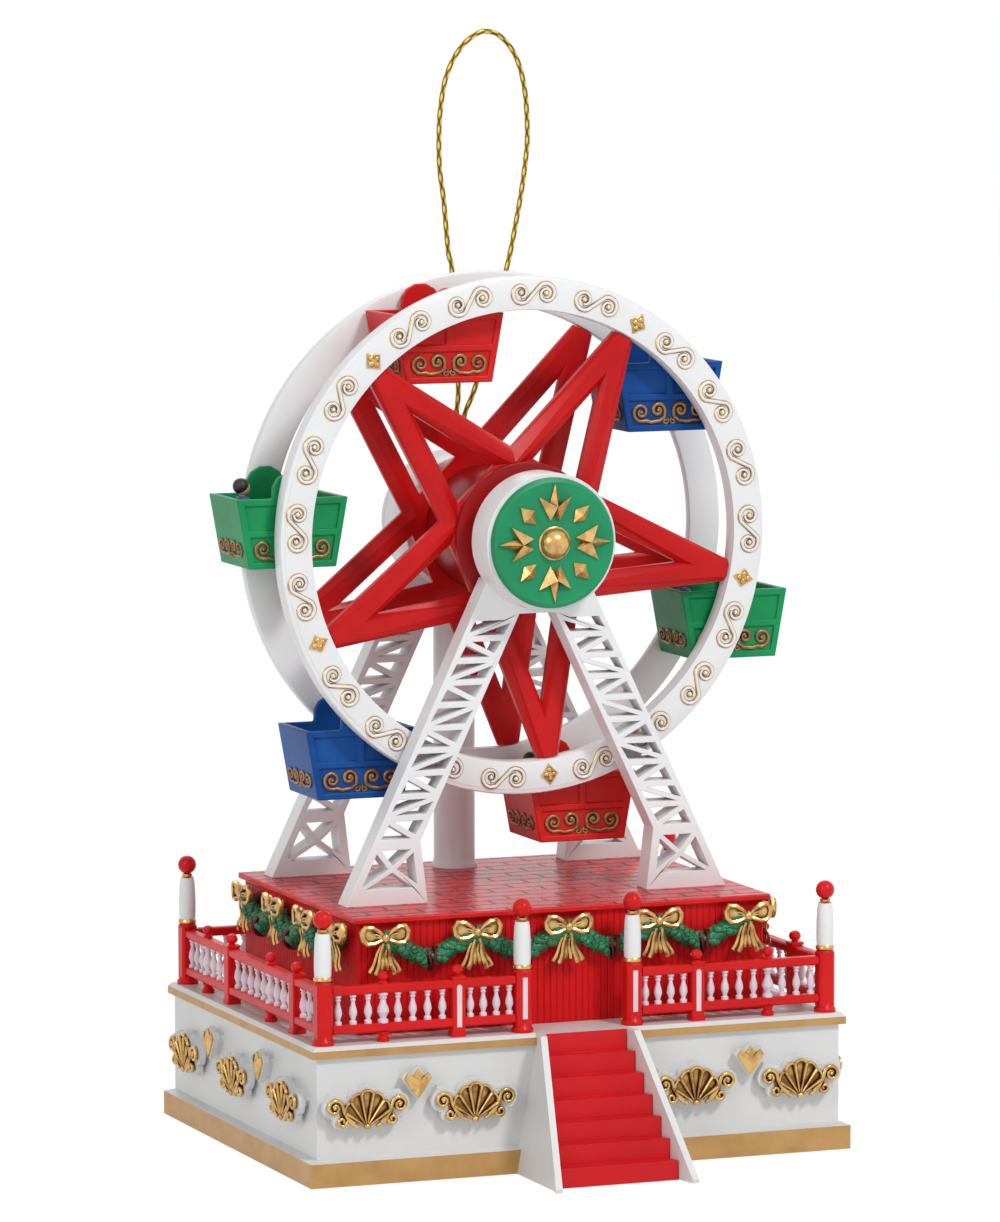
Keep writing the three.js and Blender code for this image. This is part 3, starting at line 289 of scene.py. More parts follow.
# The dark second colour is painted shade in the crevices and painted reflection in broad patches.
OLD_GOLD = Finish(
    "old_gold", (0.36, 0.20, 0.08), (0.10, 0.04, 0.018), 0.36, 0.6, grain=1400, bump=0.1,
    pattern=Pattern.SHADE_AND_SHEEN,
)
BAND_GOLD = Finish(
    "band_gold", (0.54, 0.31, 0.11), (0.46, 0.25, 0.085), 0.42, 0.4, grain=2200, bump=0.14,
)
# Its near-black second colour is painted shade in the hollows between the leafy lumps.
LEAF = Finish(
    "garland_green", (0.005, 0.21, 0.075), (0.001, 0.03, 0.012), 0.16, specular=0.5, grain=1500,
    pattern=Pattern.LEAFY,
)
WINE = Finish("ribbon_wine", (0.16, 0.006, 0.010), (0.10, 0.004, 0.007), 0.36, specular=0.25)
# The near-black second colour is painted shade in the gaps of the braid.
CORD_GOLD = Finish(
    "braided_gold", (0.94, 0.66, 0.07), (0.05, 0.02, 0.003), 0.3, 0.4,
    pattern=Pattern.BRAID,
)
HAIR = Finish("hair_dark", (0.02, 0.014, 0.012), (0.012, 0.009, 0.008), 0.5)
SKIN = Finish("doll_skin", (0.62, 0.36, 0.25), (0.55, 0.30, 0.21), 0.5)
SHIRT = Finish("shirt_blue", (0.05, 0.10, 0.26), (0.03, 0.07, 0.18), 0.5)
STEEL = Finish("plain_steel", (0.56, 0.56, 0.57), (0.48, 0.48, 0.49), 0.3, 1.0)
BRASS = Finish("plain_brass", (0.68, 0.48, 0.20), (0.58, 0.40, 0.16), 0.3, 1.0)
BLACK = Finish("black_plastic", (0.03, 0.03, 0.03), (0.022, 0.022, 0.022), 0.5)


def piece(
    name: str, mesh: bpy.types.Mesh, body: str, replaces: Sequence[str] = ()
) -> bpy.types.Object:
    """Puts a finished mesh in the scene as one piece.

    Args:
        name: The piece's name.
        mesh: Its mesh, in metres, in place.
        body: The body that it moves with.
        replaces: The CAD nodes that it stands for.

    Returns:
        The new object.
    """
    obj = bpy.data.objects.new(name, mesh)
    bpy.context.scene.collection.objects.link(obj)
    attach(obj, body)
    if replaces:
        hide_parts(*replaces)
    log.info("%s: %d faces on %s", name, len(mesh.polygons), body)
    return obj


def to_mesh(
    name: str, bm: Shape, finishes: Sequence[Finish], angle: float = 35.0
) -> bpy.types.Mesh:
    """Turns a shape in millimetres into a mesh in metres with its finishes.

    Args:
        name: The mesh's name.
        bm: The shape, of closed solids, which is freed.
        finishes: The finish of each material index.
        angle: Edges sharper than this stay sharp, in degrees.

    Returns:
        The mesh, with its sharp edges marked.
    """
    bmesh.ops.recalc_face_normals(bm, faces=bm.faces)
    bmesh.ops.scale(bm, vec=(MM, MM, MM), verts=bm.verts)
    mesh = bpy.data.meshes.new(name)
    bm.to_mesh(mesh)
    bm.free()
    for finish in finishes:
        mesh.materials.append(finish.material())
    mesh.shade_smooth()
    mesh.set_sharp_from_angle(angle=math.radians(angle))
    return mesh


def circle(sides: int) -> list[tuple[float, float]]:
    """Returns the cosine and the sine of even steps round a turn."""
    return [(math.cos(math.tau * k / sides), math.sin(math.tau * k / sides))
            for k in range(sides)]


def skin(bm: Shape, rings: Sequence[Sequence[bmesh.types.BMVert]], index: int) -> None:
    """Joins each ring of points to the next one, where a ring of one point is a tip.

    Args:
        bm: The shape that holds the points.
        rings: The rings in order, each of the same count or of one point.
        index: The material index of the new faces.
    """
    for low, high in zip(rings, rings[1:]):
        count = max(len(low), len(high))
        for k in range(count if count > 1 else 0):
            n = (k + 1) % count
            corners = [low[k], low[n]] if len(low) > 1 else [low[0]]
            corners += [high[n], high[k]] if len(high) > 1 else [high[0]]
            bm.faces.new(corners).material_index = index


def lathe(bm: Shape, profile: Sequence[Point], sides: int, place: Matrix, index: int = 0) -> None:
    """Adds a solid turned round the local Z axis.

    Args:
        bm: The shape that it joins.
        profile: Points of radius and height, from the bottom to the top.
        sides: How many steps go round.
        place: Where the axis stands.
        index: The material index of its faces.
    """
    skin(bm, [[bm.verts.new(place @ Vector((radius * c, radius * s, height)))
               for c, s in (circle(sides) if radius > 0 else [(0, 0)])]
              for radius, height in profile], index)


def ball(
    bm: Shape, centre: Point, radius: Point, index: int = 0, rings: int = 10, sides: int = 16
) -> None:
    """Adds a ball or an egg with the three radii given.

    Args:
        bm: The shape that it joins.
        centre: Its middle.
        radius: Its three radii.
        index: The material index of its faces.
        rings: How many steps go from pole to pole.
        sides: How many steps go round.
    """
    profile = [(math.sin(math.pi * i / rings), -math.cos(math.pi * i / rings))
               for i in range(1, rings)]
    place = Matrix.Translation(Vector(centre)) @ Matrix.Diagonal((*radius, 1))
    lathe(bm, [(0, -1), *profile, (0, 1)], sides, place, index)


def sweep(
    bm: Shape, path: Sequence[Point], radius: Callable[[float], float],
    sides: int = 8, index: int = 0, flat: float = 1.0, up: Point = (0, -1, 0),
) -> None:
    """Adds a tube along a path, with pointed ends.

    Args:
        bm: The shape that it joins.
        path: The points of its middle line.
        radius: The radius at a share of the length.
        sides: How many steps go round.
        index: The material index of its faces.
        flat: The thickness along up, as a share of the width.
        up: The direction that the tube's thin side faces.
    """
    points = [Vector(p) for p in path]
    last = len(points) - 1
    rings = []
    for i, point in enumerate(points):
        along = (points[min(i + 1, last)] - points[max(i - 1, 0)]).normalized()
        side = along.cross(Vector(up))
        side = side.normalized() if side.length > 1e-6 else Vector((1, 0, 0))
        rise = side.cross(along).normalized() * flat
        rings.append([bm.verts.new(point + radius(i / last) * (side * c + rise * s))
                      for c, s in circle(sides)])
    for end, inner, ring in ((0, 1, rings[0]), (last, last - 1, rings[-1])):
        reach = (ring[0].co - points[end]).length / 2
        tip = [bm.verts.new(points[end] + (points[end] - points[inner]).normalized() * reach)]
        rings = rings + [tip] if end else [tip] + rings
    skin(bm, rings, index)


def prism(
    bm: Shape, outline: Sequence[Point], low: float, high: float,
    place: Matrix = HERE, index: int = 0, crown: float = 0.0,
) -> None:
    """Adds an upright solid over an outline, with its top drawn in to a ridge if asked.

    Args:
        bm: The shape that it joins.
        outline: Points in the local XY plane, anticlockwise.
        low: The height of its foot.
        high: The height of its top.
        place: Where it stands.
        index: The material index of its faces.
        crown: How far a middle point stands over the top.
    """
    foot, top = ([bm.verts.new(place @ Vector((x, y, z))) for x, y in outline]
                 for z in (low, high))
    rings = [foot, top]
    if crown:
        middle = sum((Vector((x, y, 0)) for x, y in outline), Vector()) / len(outline)
        rings.append([bm.verts.new(place @ Vector((middle.x, middle.y, high + crown)))])
    else:
        bm.faces.new(top).material_index = index
    bm.faces.new(list(reversed(foot))).material_index = index
    skin(bm, rings, index)


def bar(half: float, low: float, high: float, cut: float) -> list[Point]:
    """Returns the outline of a bar with its corners cut off."""
    return [(-half + cut, low), (half - cut, low), (half, low + cut), (half, high - cut),
            (half - cut, high), (-half + cut, high), (-half, high - cut), (-half, low + cut)]


def spiral(
    centre: Point, start: float, turns: float, outer: float, inner: float, steps: int
) -> list[tuple[float, float]]:
    """Returns the points of a flat spiral from its outer end to its middle.

    Args:
        centre: Its middle, as two numbers.
        start: The angle of the outer end, in degrees.
        turns: How many turns it makes, negative for clockwise.
        outer: The radius of its outer end.
        inner: The radius of its inner end.
        steps: How many points it has.

    Returns:
        Its points, from the outer end inwards.
    """
    points = []
    for i in range(steps):
        share = i / (steps - 1)
        turn = math.radians(start) + math.tau * turns * share
        radius = outer + (inner - outer) * share
        points.append((centre[0] + radius * math.cos(turn), centre[1] + radius * math.sin(turn)))
    return points


def softened(
    node: str, body: str, finishes: Sequence[Finish], edge: float,
    choose: Optional[Callable[[Vector, Vector], int]] = None, sharp: float = 35.0,
) -> None:
    """Stands in for a CAD node with the same shape and softly rounded edges.

    Args:
        node: The CAD node.
        body: The body that carries it.
        finishes: The finishes that its faces choose from.
        edge: The radius of its edges, in millimetres.
        choose: Picks a face's finish from its middle and its normal, in millimetres.
        sharp: Edges sharper than this stay sharp, in degrees.
    """
    bm = bmesh.new()
    bm.from_mesh(bpy.data.objects[node].data)
    bmesh.ops.remove_doubles(bm, verts=bm.verts, dist=1e-6)
    bmesh.ops.scale(bm, vec=(1 / MM, 1 / MM, 1 / MM), verts=bm.verts)
    bm.normal_update()
    for face in bm.faces:
        face.material_index = choose(face.calc_center_median(), face.normal) if choose else 0
    mesh = to_mesh(f"{node}_soft", bm, finishes, sharp)
    obj = piece(f"{node}_soft", mesh, body, [node])
    if edge > 0:
        bevel = obj.modifiers.new("edges", "BEVEL")
        bevel.width = edge * MM
        bevel.segments = 2
        bevel.limit_method = "ANGLE"
        bevel.angle_limit = math.radians(38)
        flat = obj.modifiers.new("flat faces", "WEIGHTED_NORMAL")
        flat.keep_sharp = True
        flat.weight = 100


class Repeater:
    """Sets copies of one shape at a list of places, with Geometry Nodes."""

    def __init__(self) -> None:
        """Builds the node tree once."""
        tree = bpy.data.node_groups.new("set_copies", "GeometryNodeTree")
        for name, way, kind in (("Geometry", "INPUT", "Geometry"), ("Copy", "INPUT", "Object"),
                                ("Size", "INPUT", "Float"), ("Paint", "INPUT", "Material"),
                                ("Geometry", "OUTPUT", "Geometry")):
            tree.interface.new_socket(name, in_out=way, socket_type=f"NodeSocket{kind}")
        given = add_node(tree, "NodeGroupInput").outputs
        turn = add_node(tree, "GeometryNodeInputNamedAttribute", {"Name": "turn"},
                        data_type="FLOAT_VECTOR")
        info = add_node(tree, "GeometryNodeObjectInfo", {"Object": given["Copy"]})
        setter = add_node(tree, "GeometryNodeInstanceOnPoints", {
            "Points": given["Geometry"], "Instance": info.outputs["Geometry"],
            "Rotation": turn.outputs["Attribute"], "Scale": given["Size"]})
        real = add_node(tree, "GeometryNodeRealizeInstances", {
            "Geometry": setter.outputs["Instances"]})
        paint = add_node(tree, "GeometryNodeSetMaterial", {
            "Geometry": real.outputs["Geometry"], "Material": given["Paint"]})
        add_node(tree, "NodeGroupOutput", {"Geometry": paint.outputs["Geometry"]})
        self.tree = tree
        self.keys = {item.name: item.identifier for item in tree.interface.items_tree
                     if item.in_out == "INPUT"}

    def spread(
        self, name: str, shape: bpy.types.Mesh, finish: Finish, places: Sequence[Matrix],
        slot: str, body: str = "base", size: float = 1.0,
    ) -> None:
        """Makes one piece that holds every copy.

        Args:
            name: The piece's name.
            shape: The shape that is repeated, in metres, round its own origin.
            finish: The finish of every copy.
            places: The place of each copy, in millimetres.
            slot: The record's material slot; not used.
            body: The body that it moves with.
            size: A scale for all copies.
        """
        seed = bpy.data.meshes.new(f"{name}_places")
        seed.from_pydata([place.translation * MM for place in places], [], [])
        turns = seed.attributes.new("turn", "FLOAT_VECTOR", "POINT")
        for item, place in zip(turns.data, places):
            item.vector = place.to_euler("XYZ")
        holder = bpy.data.objects.new(f"{name}_holder", seed)
        copied = bpy.data.objects.new(f"{name}_copy", shape)
        for obj in (holder, copied):
            bpy.context.scene.collection.objects.link(obj)
        modifier = holder.modifiers.new("copies", "NODES")
        modifier.node_group = self.tree
        modifier[self.keys["Copy"]] = copied
        modifier[self.keys["Size"]] = size
        modifier[self.keys["Paint"]] = finish.material()
        graph = bpy.context.evaluated_depsgraph_get()
        graph.update()
        mesh = bpy.data.meshes.new_from_object(holder.evaluated_get(graph))
        for obj in (holder, copied):
            bpy.data.objects.remove(obj)
        piece(name, mesh, body)


def facing(at: Point, outward: Point, up: Point = (0, 0, 1)) -> Matrix:
    """Returns the place of a relief: local Y is up and local Z stands out of the wall.

    Args:
        at: Where its origin stands.
        outward: The direction that it faces.
        up: The direction of its local Y.

    Returns:
        The place.
    """
    w = Vector(outward).normalized()
    v = Vector(up).normalized()
    turn = Matrix((v.cross(w), v, w)).transposed().to_4x4()
    return Matrix.Translation(Vector(at)) @ turn


@dataclass
class Studio:
    """The floor, the lamps and the camera."""

    camera_at: Triple = (-402.4, -1009.8, 202.4)
    look_at: Triple = (-1.2, 6.45, 85.35)
    lens: float = 200.96
    roll: float = -0.08

    def build(self) -> None:
        """Makes everything that isn't part of the ornament."""
        self._camera()
        self._lamp("key", (0.35, -0.95, 1.0), 0.24, 7.6)
        self._lamp("fill", (-0.95, -0.6, 0.55), 0.6, 2.6)
        self._lamp("back", (0.2, 0.9, 0.9), 0.6, 2.2)
        self._surround()
        self._floor()

    @staticmethod
    def _aimed(name: str, data: bpy.types.ID, at: Point, target: Point) -> bpy.types.Object:
        """Puts a camera or a lamp in its place, in metres, and turns it to a target.

        Args:
            name: Its name.
            data: The camera's or the lamp's data.
            at: Its place.
            target: What it looks at.

        Returns:
            The new object.
        """
        obj = bpy.data.objects.new(name, data)
        obj.location = at
        obj.rotation_mode = "QUATERNION"
        obj.rotation_quaternion = (Vector(target) - Vector(at)).to_track_quat("-Z", "Y")
        bpy.context.scene.collection.objects.link(obj)
        return obj

    def _camera(self) -> None:
        """Sets the camera where the photograph was taken from."""
        data = bpy.data.cameras.new("camera")
        data.lens = self.lens
        data.sensor_width = 36.0
        data.clip_end = 20.0
        camera = self._aimed("camera", data, Vector(self.camera_at) * MM,
                             Vector(self.look_at) * MM)
        roll = Quaternion((0, 0, 1), math.radians(self.roll))
        camera.rotation_quaternion = camera.rotation_quaternion @ roll
        bpy.context.scene.camera = camera

    def _lamp(self, name: str, at: Point, size: float, power: float) -> None:
        """Adds one soft lamp that faces the wheel.

        Args:
            name: Its name.
            at: Its place, in metres.
            size: Its width, in metres.
            power: Its power, in watts.
        """
        data = bpy.data.lights.new(name, "AREA")
        data.shape = "DISK"
        data.size = size
        data.energy = power
        self._aimed(name, data, at, (0, 0, 0.08))

    @staticmethod
    def _seen(tree: bpy.types.NodeTree, *rays: str) -> bpy.types.NodeSocket:
        """Returns 1 for rays of the kinds named, else 0.

        Args:
            tree: The material's nodes.
            *rays: The names of the kinds of ray.

        Returns:
            The output that is 1 for them.
        """
        ray = add_node(tree, "ShaderNodeLightPath")
        found = ray.outputs[rays[0]]
        for name in rays[1:]:
            found = add_node(tree, "ShaderNodeMath", {0: found, 1: ray.outputs[name]},
                             operation="MAXIMUM").outputs["Value"]
        return found

    def _surround(self) -> None:
        """Sets an even white surround, full white only where it is seen."""
        world = bpy.data.worlds.new("surround")
        bpy.context.scene.world = world
        world.use_nodes = True
        tree = world.node_tree
        seen = self._seen(tree, "Is Camera Ray", "Is Transmission Ray", "Is Glossy Ray")
        level = add_node(tree, "ShaderNodeMapRange", {"Value": seen, "To Min": 0.5,
                                                      "To Max": 1.0})
        back = tree.nodes["Background"]
        back.inputs["Color"].default_value = (1, 1, 1, 1)
        tree.links.new(level.outputs["Result"], back.inputs["Strength"])

    def _floor(self) -> None:
        """Lays a white floor that keeps a faint shadow."""
        bm = bmesh.new()
        bmesh.ops.create_grid(bm, x_segments=1, y_segments=1, size=3.0)
        mesh = bpy.data.meshes.new("floor")
        bm.to_mesh(mesh)
        bm.free()
        floor = bpy.data.objects.new("floor", mesh)
        floor.location.z = -0.0002
        bpy.context.scene.collection.objects.link(floor)
        material = bpy.data.materials.new("floor_white")
        material.use_nodes = True
        tree = material.node_tree
        shader = tree.nodes["Principled BSDF"]
        shader.inputs["Base Color"].default_value = (0.9, 0.9, 0.9, 1)
        shader.inputs["Roughness"].default_value = 0.9
        shader.inputs["Specular IOR Level"].default_value = 0.1
        glow = add_node(tree, "ShaderNodeEmission", {"Strength": 1.06})
        share = add_node(tree, "ShaderNodeMapRange", {
            "Value": self._seen(tree, "Is Camera Ray", "Is Glossy Ray"), "To Max": 0.9})
        mix = add_node(tree, "ShaderNodeMixShader", {
            "Fac": share.outputs["Result"], 1: shader.outputs["BSDF"],
            2: glow.outputs["Emission"]})
        tree.links.new(mix.outputs["Shader"], tree.nodes["Material Output"].inputs["Surface"])
        mesh.materials.append(material)


@dataclass
class Plinth:
    """The white plinth with its gold bands and carved shells, and the red stairs."""

    repeat: Repeater
    half: float = 46.0
    front: float = -26.8
    wall_inset: float = 1.5
    proud: float = 1.0
    band_top: float = 3.8
    slab_low: float = 20.2
    slab_high: float = 21.4
    shell_z: float = 12.3
    bud_z: float = 15.7
    shell_x: tuple[float, ...] = (18.8, 36.9)
    shell_y: tuple[float, ...] = (-14.9, 8.8, 32.5)
    bud_x: float = 28.3
    bud_y: tuple[float, ...] = (-3.1, 20.7)
    foot: float = -3.0
    lobes: int = 5
    fan_lean: float = 56.0
    fan_side: float = 4.7
    fan_rise: float = 1.25
    step: float = 0.75
    stair_half: float = 12.6
    cheek_half: float = 20.0
    back_face: float = 43.4

    def build(self) -> None:
        """Makes the plinth, its ornament and the stairs."""
        # The plinth takes the darker copy of the white: painted shade.
        softened("base_housing", "base", [SHADED_FOOT_WHITE, BAND_GOLD], 0.18,
                 self._paint)
        softened("stair_flight", "base", [STAIR_RED], 0.16)
        shells, buds = self._walls()
        bud = self._bud(1.0, self.step + 0.3, 0.6, GOLD)
        back = self._bud(1.16, self.step, 0.0, SHADED_FOOT_WHITE)
        self.repeat.spread("carved_shells", self._shell(), GOLD, shells, "gold_paint")
        self.repeat.spread("shell_backs", self._backing(), SHADED_FOOT_WHITE, shells, "white_plastic")
        self.repeat.spread("carved_buds", bud, GOLD, buds, "gold_paint")
        self.repeat.spread("bud_backs", back, SHADED_FOOT_WHITE, buds, "white_plastic")

    def _paint(self, middle: Vector, normal: Vector) -> int:
        """Returns 1 for the faces that carry gold, else 0.

        Args:
            middle: The face's middle.
            normal: The face's direction.

        Returns:
            The index of its finish.
        """
        x, y, z = abs(middle.x), middle.y, middle.z
        cheek = x < self.cheek_half and abs(normal.x) > 0.2
        away = not cheek and (y > self.front - 0.4 or x > self.stair_half)
        outside = x > self.half - 1 or y < self.front + 1 or y > self.back_face
        banded = z < self.band_top or self.slab_low < z < self.slab_high
        return int(abs(normal.z) < 0.3 and outside and away and banded)

    def _walls(self) -> tuple[list[Matrix], list[Matrix]]:
        """Returns the places of the shells and of the buds.

        Returns:
            The two lists of places.
        """
        wall = self.front + self.wall_inset - self.proud
        side = self.half - self.wall_inset + self.proud
        shells, buds = (
            [facing((s * x, wall, z), (0, -1, 0)) for s in SIDES for x in across]
            + [facing((s * side, y, z), (s, 0, 0)) for s in SIDES for y in along]
            for z, across, along in ((self.shell_z, self.shell_x, self.shell_y),
                                     (self.bud_z, (self.bud_x,), self.bud_y))
        )
        return shells, buds

    def _reach(self, share: float) -> tuple[float, float]:
        """Returns the lean and the length of the scallop at a share of its width.

        Args:
            share: The share of the width, from the left.

        Returns:
            The lean in radians and the length.
        """
        lean = math.radians(self.fan_lean * (2 * share - 1))
        lobe = abs(2 * (share * self.lobes % 1) - 1)
        return lean, self.fan_side + self.fan_rise * math.cos(lean) ** 3 - 0.5 * lobe ** 3

    def _fan(self, grow: float) -> list[Point]:
        """Returns the scallop's outline, made larger all round by grow.

        Args:
            grow: How far the outline stands outside the gold one's.

        Returns:
            The outline.
        """
        steps = 8 * self.lobes
        outline = [(-0.35, self.foot - grow), (0.35, self.foot - grow)]
        for k in range(steps + 1):
            lean, reach = self._reach(1 - k / steps)
            reach += grow
            outline.append((reach * math.sin(lean), self.foot + reach * math.cos(lean)))
        return outline

    def _discs(self, grow: float) -> list[list[Point]]:
        """Returns the outlines of the curled ends, made larger all round by grow.

        Args:
            grow: How far the outline stands outside the gold one's.

        Returns:
            The outlines.
        """
        return [[(s * x + (r + grow) * c, y + (r + grow) * e) for c, e in circle(20)]
                for s in SIDES
                for x, y, r in ((5.4, 0.3, 1.45), (4.2, -1.9, 1.0), (3.4, -0.7, 1.6))]

    def _backing(self) -> bpy.types.Mesh:
        """Returns the white step behind a shell.

        Returns:
            The mesh of one copy.
        """
        bm = bmesh.new()
        for k, outline in enumerate((self._fan(0.55), *self._discs(0.4))):
            prism(bm, outline, -0.2 - 0.02 * k, self.step - 0.02 * k)
        return to_mesh("backing", bm, [SHADED_FOOT_WHITE], 40)

    def _shell(self) -> bpy.types.Mesh:
        """Returns a gold scallop of hollow lobes between two pairs of curled leaves.

        Returns:
            The mesh of one copy.
        """
        bm = bmesh.new()
        base, rise = self.step, self.step + 0.45
        prism(bm, self._fan(-0.1), 0.1, base + 0.1)
        for k, outline in enumerate(self._discs(-0.5)):
            prism(bm, outline, 0.1 + 0.02 * k, base + 0.12 - 0.02 * k)
        for k in range(self.lobes + 1):
            lean, reach = self._reach(k / self.lobes)
            path = [(reach * t * math.sin(lean), self.foot + reach * t * math.cos(lean),
                     base + 0.2 + 0.35 * t) for t in (0.1, 0.35, 0.6, 0.8, 0.95, 1.0)]
            sweep(bm, path, lambda t: 0.22 + 0.14 * t, 8, up=(0, 0, 1), flat=1.3)
        rim = [(x, y, base + 0.5) for x, y in self._fan(-0.15)[2:]]
        sweep(bm, rim, lambda t: 0.26, 6, up=(0, 0, 1))
        for s in SIDES:
            for stem, curl in (
                ([(2.2, -2.3), (3.4, -1.3), (3.9, -0.2)],
                 spiral((5.4, 0.3), 150, -1.35, 1.3, 0.3, 24)),
                ([(1.6, -2.9), (2.6, -2.2)], spiral((4.2, -1.9), 160, 1.2, 0.85, 0.25, 18)),
            ):
                sweep(bm, [(s * x, y, rise) for x, y in stem + curl], lambda t: 0.34 - 0.1 * t,
                      8, up=(0, 0, 1))
            ball(bm, (s * 5.4, 0.3, rise), (0.4, 0.4, 0.35), 0, 6, 10)
        ball(bm, (0, self.foot + 0.1, rise), (0.6, 0.5, 0.4), 0, 6, 10)
        return to_mesh("shell", bm, [GOLD], 50)

    def _bud(self, grow: float, low: float, crown: float, finish: Finish) -> bpy.types.Mesh:
        """Returns an opening bud of three petals, folded along its middle.

        Args:
            grow: Its size as a share of the gold one.
            low: The height of its edge.
            crown: How far its middle stands over the edge.
            finish: Its finish.

        Returns:
            The mesh of one copy.
        """
        half = [(0.0, -2.4), (0.85, -1.5), (2.3, 0.8), (1.7, 1.6), (0.95, 1.1), (0.0, 2.3)]
        bm = bmesh.new()
        outline = half + [(-x, y) for x, y in reversed(half[1:-1])]
        prism(bm, [(x * grow, y * grow) for x, y in outline], -0.2, low, crown=crown)
        return to_mesh("bud", bm, [finish], 20)


@dataclass
class Terrace:
    """The fence of rails and turned balusters, and the six tall posts."""

    repeat: Repeater
    top: float = 22.0
    half: float = 42.8
    front: float = -23.6
    back: float = 41.2
    rail_low: float = 1.6
    rail_high: float = 7.7
    rail_tall: float = 1.4
    rail_wide: float = 1.8
    pitch: float = 2.3
    side_pitch: float = 2.9
    stair_post: float = 9.4
    front_post: float = 20.4
    front_finial: float = 32.8
    side_posts: tuple[float, ...] = (-11.8, 19.2)
    side_finials: tuple[float, ...] = (0.5, 30.9)
    post_gap: float = 1.45

    def build(self) -> None:
        """Makes every run of fence and every post."""
        g = self.post_gap
        near, far = self.front + g, self.back - g
        edge = self.half - g
        for s, word in zip(SIDES, ("left", "right")):
            span = sorted((s * edge, s * (self.stair_post + g)))
            self._run(f"fence_front_{word}", True, self.front, span,
                      [s * self.front_finial], [s * self.front_post], self.pitch)
            self._run(f"fence_{word}", False, s * self.half, [near, far],
                      self.side_finials, self.side_posts, self.side_pitch)
        self._run("fence_back", True, self.back, [-edge, edge],
                  [s * self.front_finial for s in SIDES], [s * self.front_post for s in SIDES],
                  self.side_pitch)
        for s, word in zip(SIDES, ("left", "right")):
            self._post(f"post_front_{word}", s * self.half, self.front)
            self._post(f"post_back_{word}", s * self.half, self.back)
            self._post(f"post_stair_{word}", s * self.stair_post, self.front, True)

    def _run(
        self, node: str, along_x: bool, line: float, span: Sequence[float],
        finials: Sequence[float], posts: Sequence[float], pitch: float,
    ) -> None:
        """Makes one run of fence.

        Args:
            node: The CAD node that it stands for.
            along_x: Whether it runs along X.
            line: Where it stands across its run.
            span: Its two ends.
            finials: Where its knobbed balusters stand.
            posts: Where its small posts stand.
            pitch: The distance between balusters.
        """
        bm = bmesh.new()
        start, end = span

        def at(t: float) -> Matrix:
            """Returns the place along the run, on the terrace."""
            return Matrix.Translation((*((t, line) if along_x else (line, t)), self.top))

        for z in (self.rail_low, self.rail_high):
            place = at(start) @ facing((0, 0, z), (1, 0, 0) if along_x else (0, 1, 0))
            prism(bm, bar(self.rail_wide / 2, 0, self.rail_tall, 0.25), 0, end - start, place)
        for t in finials:
            lathe(bm, [(0, 0), (1.0, 0), (1.05, 0.5), (0.7, 0.9), (0.95, 1.6), (0, 1.6)], 14,
                  at(t))
            lathe(bm, [(0, 9.0), (0.75, 9.0), (0.8, 9.3), (0.45, 9.6), (0.5, 9.75), (0.8, 10.0),
                       (0.88, 10.35), (0.75, 10.75), (0.4, 11.0), (0, 11.1)], 14, at(t))
            self._spindle(bm, at(t), 0.95, 1)
        for t in posts:
            self._small_post(bm, at(t), along_x)
        stops = sorted([start - self.post_gap, *finials, *posts, end + self.post_gap])
        places = []
        for a, b in zip(stops, stops[1:]):
            count = max(round((b - a) / pitch) - 1, 0)
            places += [at(a + (b - a) * k / (count + 1)) for k in range(1, count + 1)]
        piece(f"{node}_frame", to_mesh(f"{node}_frame", bm, [RED, BLUSH, WHITE]), "base",
              [node])
        one = bmesh.new()
        self._spindle(one, Matrix(), 0.66, 0)
        self.repeat.spread(f"{node}_balusters", to_mesh("spindle", one, [BLUSH]), BLUSH, places,
                           "white_plastic")

    def _spindle(self, bm: Shape, place: Matrix, r: float, index: int) -> None:
        """Adds one turned baluster between the rails.

        Args:
            bm: The shape that it joins.
            place: Where it stands, on the terrace.
            r: Its widest radius.
            index: The material index of its faces.
        """
        low, high = self.rail_low + self.rail_tall - 0.05, self.rail_high + 0.05
        tall = high - low
        shape = [(0.9, 0), (0.9, 0.1), (0.5, 0.15), (0.62, 0.22), (1.0, 0.36), (0.9, 0.5),
                 (0.5, 0.68), (0.45, 0.76), (0.72, 0.82), (0.5, 0.87), (0.85, 0.92), (0.85, 1)]
        profile = [(0, low)] + [(r * u, low + tall * v) for u, v in shape] + [(0, high)]
        lathe(bm, profile, 12, place, index)

    def _small_post(self, bm: Shape, place: Matrix, along_x: bool) -> None:
        """Adds a square post with a ball on top, and pale panels if its fence runs along X.

        Args:
            bm: The shape that it joins.
            place: Where it stands.
            along_x: Whether its fence runs along X.
        """
        r = 1.05
        for grow, low, high in ((1.0, 0, 9.3), (1.12, 0, 0.7), (1.12, 9.2, 9.6)):
            prism(bm, bar(r * grow, -r * grow, r * grow, 0.18 * grow), low, high, place)
        lathe(bm, [(0, 9.5), (0.7, 9.5), (0.45, 9.8), (0.8, 10.0), (1.0, 10.5), (0.8, 11.1),
                   (0.4, 11.35), (0, 11.4)], 16, place)
        for s in SIDES if along_x else ():
            edge = [(-0.4, 1.6), (0.4, 1.6), (0.42, 8.0), (0.2, 8.3), (-0.2, 8.3), (-0.42, 8.0)]
            prism(bm, edge, -0.1, 0.1, place @ facing((0, s * r, 0), (0, s, 0)), 1)

